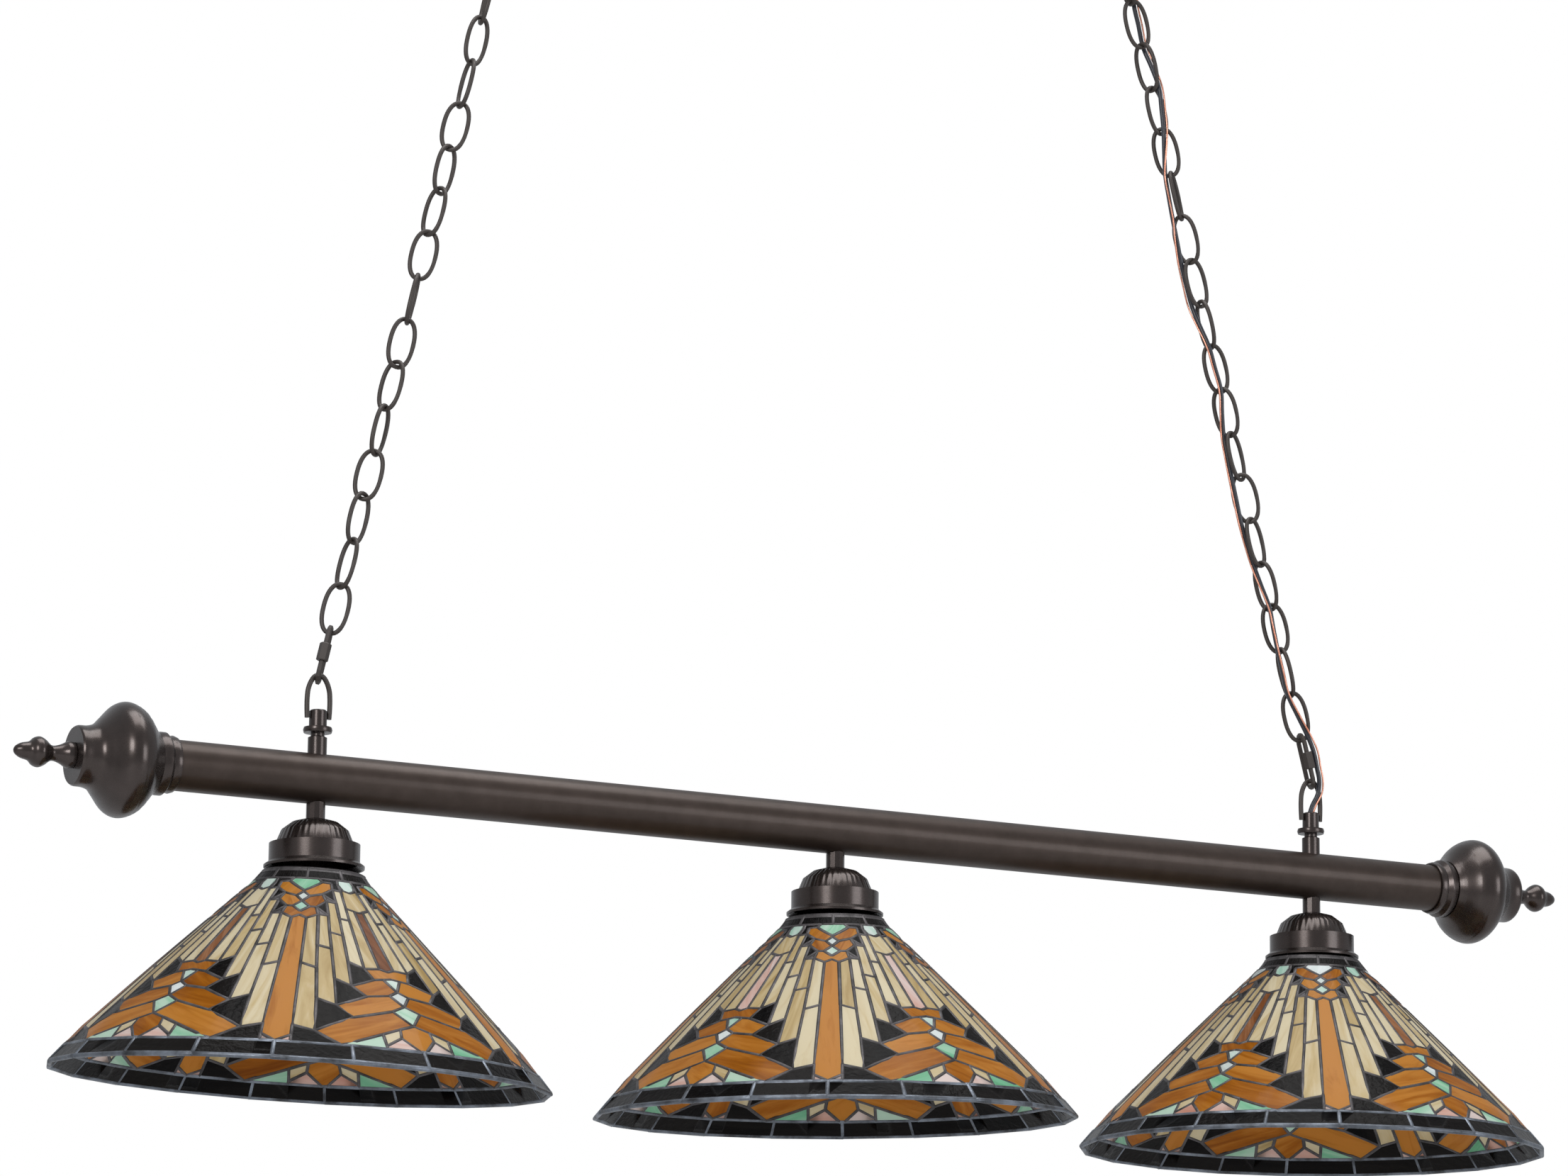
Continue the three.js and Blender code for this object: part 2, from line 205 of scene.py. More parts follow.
BAR_BRONZE = MetalFinish(
    "bar_bronze", (0.033, 0.022, 0.017), (0.045, 0.031, 0.025), 0.70, 0.40, 0.48, 260.0, 0.000008, 0.10)
POLISHED_BRONZE = MetalFinish(
    "polished_bronze", (0.034, 0.025, 0.022), (0.046, 0.034, 0.031), 0.78, 0.25, 0.32, 220.0, 0.000006, 0.30)
CHAIN_BRONZE = MetalFinish(
    "chain_bronze", (0.014, 0.009, 0.007), (0.034, 0.023, 0.018), 0.70, 0.28, 0.44, 420.0, 0.00003, 0.15)
ZINC_STEEL = MetalFinish(
    "zinc_steel", (0.40, 0.41, 0.42), (0.62, 0.63, 0.64), 1.0, 0.26, 0.42, 300.0, 0.00005, 0.0)
LEAD_CAME = MetalFinish(
    "lead_came", (0.022, 0.020, 0.020), (0.088, 0.080, 0.083), 0.50, 0.38, 0.58, 300.0, 0.00030, 0.0)
SOLDER_BEAD = MetalFinish(
    "solder_bead", (0.040, 0.042, 0.047), (0.20, 0.225, 0.265), 0.75, 0.32, 0.58, 190.0, 0.00035, 0.0)
BARE_COPPER = MetalFinish(
    "bare_copper", (0.62, 0.24, 0.15), (0.86, 0.46, 0.34), 1.0, 0.22, 0.40, 500.0, 0.00004, 0.0)

BLACK_SHEATH = SheathFinish("black_sheath", (0.012, 0.013, 0.018), 0.34, 0.25, 900.0)
HOLDER_BLACK = SheathFinish("holder_black", (0.016, 0.013, 0.012), 0.28, 0.0, 500.0)
WIRE_BLACK = SheathFinish("wire_black", (0.014, 0.014, 0.016), 0.45, 0.1, 900.0)
FLOOR_WHITE = SheathFinish("floor_white", (0.82, 0.82, 0.82), 0.6, 0.0, 3.0)

SHEET_GLASS: dict[Glass, GlassFinish] = {
    Glass.AMBER: GlassFinish(
        "amber_glass", (0.22, 0.062, 0.004), (0.37, 0.125, 0.010), (0.52, 0.22, 0.035),
        95.0, 60.0, 0.0004, 0.20, 0.40),
    Glass.TAWNY: GlassFinish(
        "tawny_glass", (0.13, 0.038, 0.010), (0.22, 0.075, 0.020), (0.36, 0.17, 0.080),
        95.0, 60.0, 0.0004, 0.22, 0.40),
    Glass.CREAM: GlassFinish(
        "cream_glass", (0.40, 0.28, 0.115), (0.54, 0.42, 0.22), (0.66, 0.58, 0.40),
        70.0, 70.0, 0.0003, 0.20, 0.36),
    Glass.BLACK: GlassFinish(
        "black_ripple_glass", (0.002, 0.002, 0.002), (0.004, 0.0035, 0.0035), (0.008, 0.007, 0.0065),
        60.0, 210.0, 0.0008, 0.20, 0.02, 0.035),
    Glass.MINT: GlassFinish(
        "mint_glass", (0.09, 0.36, 0.17), (0.22, 0.50, 0.32), (0.50, 0.66, 0.54),
        60.0, 50.0, 0.0004, 0.14, 0.36),
    Glass.PALE_MINT: GlassFinish(
        "pale_mint_glass", (0.28, 0.52, 0.40), (0.44, 0.62, 0.52), (0.62, 0.70, 0.65),
        60.0, 50.0, 0.0004, 0.14, 0.34),
    Glass.PINK: GlassFinish(
        "pink_glass", (0.52, 0.24, 0.17), (0.62, 0.39, 0.32), (0.68, 0.57, 0.53),
        70.0, 50.0, 0.0004, 0.14, 0.34),
    Glass.PEARL: GlassFinish(
        "pearl_glass", (0.46, 0.50, 0.47), (0.58, 0.64, 0.62), (0.70, 0.74, 0.74),
        70.0, 50.0, 0.0004, 0.14, 0.32),
}


def metal_material(finish: MetalFinish) -> bpy.types.Material:
    """Writes a mottled, slightly uneven metal.

    Args:
        finish: The metal's colours, polish and relief.

    Returns:
        The new material, or the one already made for this finish.
    """
    if finish.name in bpy.data.materials:
        return bpy.data.materials[finish.name]
    material = bpy.data.materials.new(finish.name)
    material.use_nodes = True
    material.diffuse_color = (*finish.pale, 1.0)
    tree = material.node_tree
    nodes, links = tree.nodes, tree.links
    nodes.clear()

    colour_frame = nodes.new("NodeFrame")
    colour_frame.label = "patina colour"
    relief_frame = nodes.new("NodeFrame")
    relief_frame.label = "polish and relief"

    place = nodes.new("ShaderNodeTexCoord")
    place.label = "where on the piece"
    patina = nodes.new("ShaderNodeTexNoise")
    patina.label = "patina clouds"
    patina.inputs["Scale"].default_value = finish.grain * 0.22
    patina.inputs["Detail"].default_value = 6.0
    patina.inputs["Roughness"].default_value = 0.62
    patina.parent = colour_frame
    tint = nodes.new("ShaderNodeValToRGB")
    tint.label = "dark to light patina"
    tint.color_ramp.elements[0].position = 0.34
    tint.color_ramp.elements[0].color = (*finish.deep, 1.0)
    tint.color_ramp.elements[1].position = 0.70
    tint.color_ramp.elements[1].color = (*finish.pale, 1.0)
    tint.parent = colour_frame

    specks = nodes.new("ShaderNodeTexNoise")
    specks.label = "fine coat texture"
    specks.inputs["Scale"].default_value = finish.grain * 2.6
    specks.inputs["Detail"].default_value = 3.0
    specks.parent = relief_frame
    polish = nodes.new("ShaderNodeMapRange")
    polish.label = "polished to dull"
    polish.inputs["From Min"].default_value = 0.30
    polish.inputs["From Max"].default_value = 0.72
    polish.inputs["To Min"].default_value = finish.smooth
    polish.inputs["To Max"].default_value = finish.worn
    polish.parent = relief_frame
    unevenness = nodes.new("ShaderNodeTexNoise")
    unevenness.label = "shallow dents"
    unevenness.inputs["Scale"].default_value = finish.grain
    unevenness.inputs["Detail"].default_value = 2.0
    unevenness.parent = relief_frame
    relief = nodes.new("ShaderNodeBump")
    relief.label = "dents catch the light"
    relief.inputs["Strength"].default_value = 0.55
    relief.inputs["Distance"].default_value = finish.dents
    relief.parent = relief_frame

    surface = nodes.new("ShaderNodeBsdfPrincipled")
    surface.label = "metal surface"
    surface.inputs["Metallic"].default_value = finish.metallic
    surface.inputs["Coat Weight"].default_value = finish.coat
    surface.inputs["Coat Roughness"].default_value = 0.18
    result = nodes.new("ShaderNodeOutputMaterial")
    result.label = "finished metal"

    links.new(place.outputs["Object"], patina.inputs["Vector"])
    links.new(patina.outputs["Fac"], tint.inputs["Fac"])
    links.new(tint.outputs["Color"], surface.inputs["Base Color"])
    links.new(place.outputs["Object"], specks.inputs["Vector"])
    links.new(specks.outputs["Fac"], polish.inputs["Value"])
    links.new(polish.outputs["Result"], surface.inputs["Roughness"])
    links.new(place.outputs["Object"], unevenness.inputs["Vector"])
    links.new(unevenness.outputs["Fac"], relief.inputs["Height"])
    links.new(relief.outputs["Normal"], surface.inputs["Normal"])
    links.new(surface.outputs["BSDF"], result.inputs["Surface"])
    for column, row in enumerate((place, patina, tint, specks, polish, unevenness, relief, surface, result)):
        row.location = (220 * column - 900, 160 - 90 * (column % 3))
    return material


def glass_material(finish: GlassFinish) -> bpy.types.Material:
    """Writes opalescent sheet glass with streaks along each piece and a rippled face.

    Args:
        finish: The sheet's colours, streaks and ripple.

    Returns:
        The new material, or the one already made for this finish.
    """
    if finish.name in bpy.data.materials:
        return bpy.data.materials[finish.name]
    material = bpy.data.materials.new(finish.name)
    material.use_nodes = True
    material.diffuse_color = (*finish.body, 1.0)
    tree = material.node_tree
    nodes, links = tree.nodes, tree.links
    nodes.clear()

    streak_frame = nodes.new("NodeFrame")
    streak_frame.label = "streaky colour"
    ripple_frame = nodes.new("NodeFrame")
    ripple_frame.label = "rippled face"
    light_frame = nodes.new("NodeFrame")
    light_frame.label = "surface and glow"

    grain = nodes.new("ShaderNodeUVMap")
    grain.label = "along each piece"
    grain.uv_map = GRAIN_MAP
    grain.parent = streak_frame
    draw = nodes.new("ShaderNodeMapping")
    draw.label = "streaks drawn out"
    draw.inputs["Scale"].default_value = (0.16, 1.0, 1.0)
    draw.parent = streak_frame
    streaks = nodes.new("ShaderNodeTexNoise")
    streaks.label = "streaks in the melt"
    streaks.inputs["Scale"].default_value = finish.streak
    streaks.inputs["Detail"].default_value = 5.0
    streaks.inputs["Roughness"].default_value = 0.58
    streaks.inputs["Distortion"].default_value = 0.9
    streaks.parent = streak_frame
    tone = nodes.new("ShaderNodeAttribute")
    tone.label = "each piece's own tone"
    tone.attribute_name = TONE_ATTRIBUTE
    tone.parent = streak_frame
    blend = nodes.new("ShaderNodeMath")
    blend.label = "streaks shifted by the tone"
    blend.operation = "MULTIPLY_ADD"
    blend.inputs[1].default_value = 0.42
    blend.parent = streak_frame
    tint = nodes.new("ShaderNodeValToRGB")
    tint.label = "deep, usual and pale glass"
    tint.color_ramp.elements[0].position = 0.36
    tint.color_ramp.elements[0].color = (*finish.deep, 1.0)
    tint.color_ramp.elements[1].position = 0.86
    tint.color_ramp.elements[1].color = (*finish.pale, 1.0)
    middle = tint.color_ramp.elements.new(0.60)
    middle.color = (*finish.body, 1.0)
    tint.parent = streak_frame

    ripples = nodes.new("ShaderNodeTexNoise")
    ripples.label = "rolled ripples"
    ripples.inputs["Scale"].default_value = finish.ripple
    ripples.inputs["Detail"].default_value = 3.0
    ripples.inputs["Distortion"].default_value = 0.5
    ripples.parent = ripple_frame
    relief = nodes.new("ShaderNodeBump")
    relief.label = "ripples catch the light"
    relief.inputs["Strength"].default_value = 0.7
    relief.inputs["Distance"].default_value = finish.relief
    relief.parent = ripple_frame

    face = nodes.new("ShaderNodeBsdfPrincipled")
    face.label = "glossy glass face"
    face.inputs["Roughness"].default_value = finish.smooth
    face.inputs["IOR"].default_value = 1.5
    face.inputs["Specular IOR Level"].default_value = finish.shine
    face.parent = light_frame
    through = nodes.new("ShaderNodeBsdfTranslucent")
    through.label = "light from behind"
    through.parent = light_frame
    mix = nodes.new("ShaderNodeMixShader")
    mix.label = "opal body"
    mix.inputs["Fac"].default_value = finish.glow
    mix.parent = light_frame
    result = nodes.new("ShaderNodeOutputMaterial")
    result.label = "finished glass"

    links.new(grain.outputs["UV"], draw.inputs["Vector"])
    links.new(draw.outputs["Vector"], streaks.inputs["Vector"])
    links.new(tone.outputs["Fac"], blend.inputs[0])
    links.new(streaks.outputs["Fac"], blend.inputs[2])
    links.new(blend.outputs["Value"], tint.inputs["Fac"])
    links.new(grain.outputs["UV"], ripples.inputs["Vector"])
    links.new(ripples.outputs["Fac"], relief.inputs["Height"])
    links.new(relief.outputs["Normal"], face.inputs["Normal"])
    links.new(tint.outputs["Color"], face.inputs["Base Color"])
    links.new(tint.outputs["Color"], through.inputs["Color"])
    links.new(face.outputs["BSDF"], mix.inputs[1])
    links.new(through.outputs["BSDF"], mix.inputs[2])
    links.new(mix.outputs["Shader"], result.inputs["Surface"])
    row = (grain, draw, streaks, tone, blend, tint, ripples, relief, face, through, mix, result)
    for column, node in enumerate(row):
        node.location = (200 * column - 1200, 200 - 110 * (column % 3))
    return material


def sheath_material(finish: SheathFinish) -> bpy.types.Material:
    """Writes a dark moulded plastic with a faint pebbled face.

    Args:
        finish: The plastic's colour and gloss.

    Returns:
        The new material, or the one already made for this finish.
    """
    if finish.name in bpy.data.materials:
        return bpy.data.materials[finish.name]
    material = bpy.data.materials.new(finish.name)
    material.use_nodes = True
    material.diffuse_color = (*finish.colour, 1.0)
    tree = material.node_tree
    nodes, links = tree.nodes, tree.links
    nodes.clear()

    frame = nodes.new("NodeFrame")
    frame.label = "pebbled sheath"
    place = nodes.new("ShaderNodeTexCoord")
    place.label = "where on the piece"
    pebbles = nodes.new("ShaderNodeTexNoise")
    pebbles.label = "fine pebbles"
    pebbles.inputs["Scale"].default_value = finish.grain
    pebbles.inputs["Detail"].default_value = 2.0
    pebbles.parent = frame
    gloss = nodes.new("ShaderNodeMapRange")
    gloss.label = "rubbed to dull"
    gloss.inputs["To Min"].default_value = finish.smooth * 0.8
    gloss.inputs["To Max"].default_value = finish.smooth * 1.25
    gloss.parent = frame
    relief = nodes.new("ShaderNodeBump")
    relief.label = "pebbles catch the light"
    relief.inputs["Strength"].default_value = 0.3
    relief.inputs["Distance"].default_value = 0.0001
    relief.parent = frame
    surface = nodes.new("ShaderNodeBsdfPrincipled")
    surface.label = "plastic surface"
    surface.inputs["Base Color"].default_value = (*finish.colour, 1.0)
    surface.inputs["Sheen Weight"].default_value = finish.sheen
    surface.inputs["Sheen Tint"].default_value = (0.75, 0.82, 1.0, 1.0)
    result = nodes.new("ShaderNodeOutputMaterial")
    result.label = "finished plastic"

    links.new(place.outputs["Object"], pebbles.inputs["Vector"])
    links.new(pebbles.outputs["Fac"], gloss.inputs["Value"])
    links.new(gloss.outputs["Result"], surface.inputs["Roughness"])
    links.new(pebbles.outputs["Fac"], relief.inputs["Height"])
    links.new(relief.outputs["Normal"], surface.inputs["Normal"])
    links.new(surface.outputs["BSDF"], result.inputs["Surface"])
    for column, node in enumerate((place, pebbles, gloss, relief, surface, result)):
        node.location = (220 * column - 700, 120 - 90 * (column % 2))
    return material


def bulb_material() -> bpy.types.Material:
    """Writes the frosted white glass of an unlit bulb.

    Returns:
        The new material, or the one already made.
    """
    name = "frosted_bulb"
    if name in bpy.data.materials:
        return bpy.data.materials[name]
    material = bpy.data.materials.new(name)
    material.use_nodes = True
    tree = material.node_tree
    nodes, links = tree.nodes, tree.links
    nodes.clear()
    place = nodes.new("ShaderNodeTexCoord")
    place.label = "where on the bulb"
    frost = nodes.new("ShaderNodeTexNoise")
    frost.label = "uneven frosting"
    frost.inputs["Scale"].default_value = 180.0
    frost.inputs["Detail"].default_value = 4.0
    tint = nodes.new("ShaderNodeValToRGB")
    tint.label = "white frosting"
    tint.color_ramp.elements[0].color = (0.80, 0.79, 0.75, 1.0)
    tint.color_ramp.elements[1].color = (0.90, 0.89, 0.87, 1.0)
    surface = nodes.new("ShaderNodeBsdfPrincipled")
    surface.label = "frosted glass"
    surface.inputs["Roughness"].default_value = 0.35
    surface.inputs["Coat Weight"].default_value = 0.3
    result = nodes.new("ShaderNodeOutputMaterial")
    result.label = "finished bulb"
    links.new(place.outputs["Object"], frost.inputs["Vector"])
    links.new(frost.outputs["Fac"], tint.inputs["Fac"])
    links.new(tint.outputs["Color"], surface.inputs["Base Color"])
    links.new(surface.outputs["BSDF"], result.inputs["Surface"])
    for column, node in enumerate((place, frost, tint, surface, result)):
        node.location = (220 * column - 500, 0)
    return material


# ---- shared making ---------------------------------------------------------------------------------
GRAIN_MAP = "GrainUV"
TONE_ATTRIBUTE = "piece_tone"


def add_object(name: str, data: bpy.types.ID) -> bpy.types.Object:
    """Links a new object into the scene and returns it."""
    piece = bpy.data.objects.new(name, data)
    bpy.context.scene.collection.objects.link(piece)
    return piece


def spline(points: Sequence[Sequence[float]], per_span: int = 6) -> list[Vector]:
    """Runs a centripetal curve through points.

    Args:
        points: The points, in two or three dimensions.
        per_span: How many steps each span gets.

    Returns:
        The curve's points, the first and last given ones included.
    """
    path = [Vector(point) for point in points]
    ends = [path[0] * 2 - path[1], *path, path[-1] * 2 - path[-2]]
    result = [path[0]]
    for before, start, end, after in zip(ends, ends[1:], ends[2:], ends[3:]):
        t1 = max((start - before).length, 1e-6) ** 0.5
        t2 = t1 + max((end - start).length, 1e-6) ** 0.5
        t3 = t2 + max((after - end).length, 1e-6) ** 0.5
        for step in range(1, per_span + 1):
            t = t1 + (t2 - t1) * step / per_span
            a1 = before * ((t1 - t) / t1) + start * (t / t1)
            a2 = start * ((t2 - t) / (t2 - t1)) + end * ((t - t1) / (t2 - t1))
            a3 = end * ((t3 - t) / (t3 - t2)) + after * ((t - t2) / (t3 - t2))
            b1 = a1 * ((t2 - t) / t2) + a2 * (t / t2)
            b2 = a2 * ((t3 - t) / (t3 - t1)) + a3 * ((t - t1) / (t3 - t1))
            result.append(b1 * ((t2 - t) / (t2 - t1)) + b2 * ((t - t1) / (t2 - t1)))
    return result


def settle(piece: bpy.types.Object, place: Matrix, sharp: float = 38.0) -> bpy.types.Object:
    """Applies a piece's stack and then its place, and points its faces outwards.

    Args:
        piece: The piece, made at its own origin.
        place: Where the piece belongs in the frame.
        sharp: Angle in degrees past which an edge stays crisp.

    Returns:
        The same piece, or the mesh that takes a curve's place.
    """
    graph = bpy.context.evaluated_depsgraph_get()
    finished = piece.evaluated_get(graph)
    mesh = bpy.data.meshes.new_from_object(finished, preserve_all_data_layers=True, depsgraph=graph)
    name = piece.name
    bpy.data.objects.remove(piece)
    mesh.transform(place)
    shell = bmesh.new()
    shell.from_mesh(mesh)
    bmesh.ops.remove_doubles(shell, verts=shell.verts, dist=0.000002)
    bmesh.ops.recalc_face_normals(shell, faces=shell.faces)
    shell.to_mesh(mesh)
    shell.free()
    mesh.shade_smooth()
    mesh.set_sharp_from_angle(angle=math.radians(sharp))
    return add_object(name, mesh)


def turned(name: str, profile: Profile, place: Matrix = LAMP, steps: int = 72) -> bpy.types.Object:
    """Turns a profile about +Z.

    Args:
        name: Name of the piece.
        profile: Radius and height pairs. It is closed here when it keeps off the axis.
        place: Where the piece belongs in the frame.
        steps: Facets around the axis.

    Returns:
        The finished piece.
    """
    points = [(radius, 0.0, height) for radius, height in profile]
    edges = [(i, i + 1) for i in range(len(points) - 1)]
    if profile[0][0] > 0.01 and profile[-1][0] > 0.01:
        edges.append((len(points) - 1, 0))
    mesh = bpy.data.meshes.new(name)
    mesh.from_pydata(points, edges, [])
    piece = add_object(name, mesh)
    screw = piece.modifiers.new("turn", "SCREW")
    screw.steps = screw.render_steps = steps
    screw.use_merge_vertices = True
    screw.merge_threshold = 0.01
    return settle(piece, place)


def wires(name: str, paths: Sequence[Sequence[Vector]], radius: float, closed: bool, place: Matrix = LAMP,
          thickness: Sequence[Sequence[float]] | None = None, smoothness: int = 4) -> bpy.types.Object:
    """Bends round wires along paths.

    Args:
        name: Name of the piece.
        paths: One list of points for each wire.
        radius: The wires' radius.
        closed: Whether each wire is a loop.
        place: Where the piece belongs in the frame.
        thickness: A share of the radius for each point, where it isn't 1.
        smoothness: Bevel resolution of the round section.

    Returns:
        The finished piece.
    """
    curve = bpy.data.curves.new(name, "CURVE")
    curve.dimensions = "3D"
    curve.bevel_depth = radius
    curve.bevel_resolution = smoothness
    curve.use_fill_caps = not closed
    for index, path in enumerate(paths):
        strand = curve.splines.new("POLY")
        strand.points.add(len(path) - 1)
        for number, (point, at) in enumerate(zip(strand.points, path)):
            point.co = (*at, 1.0)
            point.radius = thickness[index][number] if thickness else 1.0
        strand.use_cyclic_u = closed
    return settle(add_object(name, curve), place)


def dress(piece: bpy.types.Object, material: bpy.types.Material | None, body: str, slot: Slot,
          *nodes: str) -> None:
    """Gives a piece its finish, its body and the CAD nodes that it stands for.

    Args:
        piece: The finished piece.
        material: Its material, or None for a piece that has its materials already.
        body: The body that it rides on.
        slot: The record's slot that its finish belongs to; not used.
        nodes: The CAD nodes that it replaces.
    """
    if not piece.data.materials:
        piece.data.materials.append(material)
    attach(piece, body)
    if nodes:
        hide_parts(*nodes)
    log.info("%s rides on %s and stands for %s", piece.name, body, ", ".join(nodes) or "no node")


# ---- leaded glass shades ---------------------------------------------------------------------------
# The pattern repeats every 72 degrees and each repeat is mirrored, so it is written for 36 degrees: from
# the axis of a long amber stripe (0) to the axis of a stepped tree (36). A corner is (degrees, radius).
BAND_TOP, BAND_FOOT, BORDER_TOP, RIM = 41.6, 48.6, 192.5, 203.4
HALF_REPEAT = 36.0
REPEATS = 5
# A flat layout holds x as the angle times this radius. A step in radius is SLANT times longer down the cone.
UNROLLED = 100.0
SLANT = 1.4

STRIPE_HEAD, STRIPE_FOOT = (4.05, 85.2), (3.65, 180.5)
PATTERN: list[tuple[Glass, list[tuple[float, float]]]] = [
    (Glass.BLACK, [
        (0, BAND_TOP), (36, BAND_TOP), (36, BAND_FOOT), (29.2, BAND_FOOT), (11.5, BAND_FOOT),
        (0, BAND_FOOT)]),
    # the small inverted tree at the head of the stripe
    (Glass.MINT, [(0, BAND_FOOT), (11.5, BAND_FOOT), (14.6, 51.6), (0, 60)]),
    (Glass.AMBER, [(0, 60), (14.6, 51.6), (22.5, 52), (22, 57.8), (13.8, 62.6), (4.8, 65), (0, 61)]),
    (Glass.PEARL, [(0, 61), (4.8, 65), (0, 69.6)]),
    (Glass.AMBER, [(4.8, 65), (13.8, 62.6), (15.9, 68.9), (9.4, 74.6), (5.2, 74.6), (0, 69.6)]),
    (Glass.PALE_MINT, [(0, 69.6), (5.2, 74.6), (0, 79.2)]),
    (Glass.AMBER, [(0, 79.2), (5.2, 74.6), (9.4, 74.6), (10.4, 81.3), STRIPE_HEAD, (0, 82.6)]),
    (Glass.BLACK, [(13.8, 62.6), (22, 57.8), (22.4, 69.6)]),
    (Glass.FILL, [(13.8, 62.6), (22.4, 69.6), (15.9, 68.9)]),
    (Glass.BLACK, [(9.4, 74.6), (15.9, 68.9), (16.1, 81.9)]),
    (Glass.FILL, [(9.4, 74.6), (16.1, 81.9), (10.4, 81.3)]),
    (Glass.BLACK, [
        (11.5, BAND_FOOT), (29.2, BAND_FOOT), (28, 52.8), (28.7, 58.8), (22, 57.8), (22.5, 52),
        (14.6, 51.6)]),
    # the head of the stepped tree's axis
    (Glass.PALE_MINT, [(36, BAND_FOOT), (29.2, BAND_FOOT), (28, 52.8), (30.6, 57.6), (36, 59.4)]),
    (Glass.CREAM, [(30.6, 57.6), (36, 59.4), (36, 76.8), (28, 73.8), (28.7, 58.8), (28, 52.8)]),
    # radial strips, from the stripe outwards, each with a slanted joint
    (Glass.AMBER, [(0, 82.6), STRIPE_HEAD, (3.85, 125.6), STRIPE_FOOT, (3.6, 187.8), (0, BORDER_TOP)]),
    (Glass.CREAM, [STRIPE_HEAD, (10.4, 81.3), (9.85, 109), (9.6, 129.4), (3.85, 125.6)]),
    (Glass.CREAM, [(3.85, 125.6), (9.6, 129.4), (9.6, 156), (9.2, 183.6), STRIPE_FOOT]),
    (Glass.CREAM, [(10.4, 81.3), (16.1, 81.9), (15.7, 96.6), (15.65, 111.6), (9.85, 109)]),
    (Glass.CREAM, [(9.85, 109), (15.65, 111.6), (15.5, 137.8), (15.2, 161.2), (9.6, 156), (9.6, 129.4)]),
    (Glass.CREAM, [(15.9, 68.9), (22.4, 69.6), (22.1, 83.6), (21.8, 99), (15.7, 96.6), (16.1, 81.9)]),
    (Glass.CREAM, [(15.7, 96.6), (21.8, 99), (21.4, 121.8), (20.8, 143.2), (15.5, 137.8), (15.65, 111.6)]),
    (Glass.CREAM, [(22, 57.8), (28.7, 58.8), (28, 73.8), (27.6, 84.8), (22.1, 83.6), (22.4, 69.6)]),
    (Glass.CREAM, [(22.1, 83.6), (27.6, 84.8), (27, 127), (21.4, 121.8), (21.8, 99)]),
    (Glass.CREAM, [(28, 73.8), (33.1, 75.8), (33.1, 125.9), (27, 127), (27.6, 84.8)]),
    (Glass.TAWNY, [(33.1, 75.8), (36, 76.8), (36, 127.8), (33.1, 125.9)]),
    # the stepped tree
    (Glass.AMBER, [(36, 127.8), (33.1, 125.9), (27, 127), (29.4, 136), (32.8, 135), (36, 134)]),
    (Glass.PALE_MINT, [(36, 134), (32.8, 135), (36, 145)]),
    (Glass.BLACK, [(21.4, 121.8), (27, 127), (29.4, 136), (20.8, 143.2)]),
    (Glass.AMBER, [(32.8, 135), (29.4, 136), (20.8, 143.2), (24.9, 151.4), (32.7, 148.9), (36, 145)]),
    (Glass.PEARL, [(36, 145), (32.7, 148.9), (36, 157.4)]),
    (Glass.BLACK, [(15.5, 137.8), (20.8, 143.2), (24.9, 151.4), (15.2, 161.2)]),
    (Glass.AMBER, [(32.7, 148.9), (24.9, 151.4), (15.2, 161.2), (19.4, 170.8), (31.6, 162.5), (36, 157.4)]),
    (Glass.MINT, [(36, 157.4), (31.6, 162.5), (36, 173.7)]),
    (Glass.BLACK, [(9.6, 156), (15.2, 161.2), (19.4, 170.8), (9.2, 183.6)]),
    (Glass.AMBER, [
        (31.6, 162.5), (19.4, 170.8), (9.2, 183.6), (15.6, BORDER_TOP), (26.6, 182.4),
        (31.8, 177.6), (36, 173.7)]),
    # the foot of the tree and of the stripe
    (Glass.AMBER, [(36, 173.7), (31.8, 177.6), (31.4, 184), (35.3, BORDER_TOP), (36, BORDER_TOP)]),
    (Glass.CREAM, [(31.8, 177.6), (26.6, 182.4), (26.9, 190.5), (31.4, 184)]),
    (Glass.PINK, [(31.4, 184), (26.9, 190.5), (26.9, BORDER_TOP), (35.3, BORDER_TOP)]),
    (Glass.MINT, [(26.6, 182.4), (15.6, BORDER_TOP), (18, BORDER_TOP), (26.9, BORDER_TOP), (26.9, 190.5)]),
    (Glass.BLACK, [STRIPE_FOOT, (9.2, 183.6), (15.6, BORDER_TOP), (3.6, BORDER_TOP), (3.6, 187.8)]),
    (Glass.PINK, [(3.6, 187.8), (3.6, BORDER_TOP), (0, BORDER_TOP)]),
    # the border
    (Glass.BLACK, [
        (0, BORDER_TOP), (3.6, BORDER_TOP), (15.6, BORDER_TOP), (18, BORDER_TOP), (18, RIM), (0, RIM)]),
    (Glass.BLACK, [
        (18, BORDER_TOP), (26.9, BORDER_TOP), (35.3, BORDER_TOP), (36, BORDER_TOP), (36, RIM), (18, RIM)]),
]


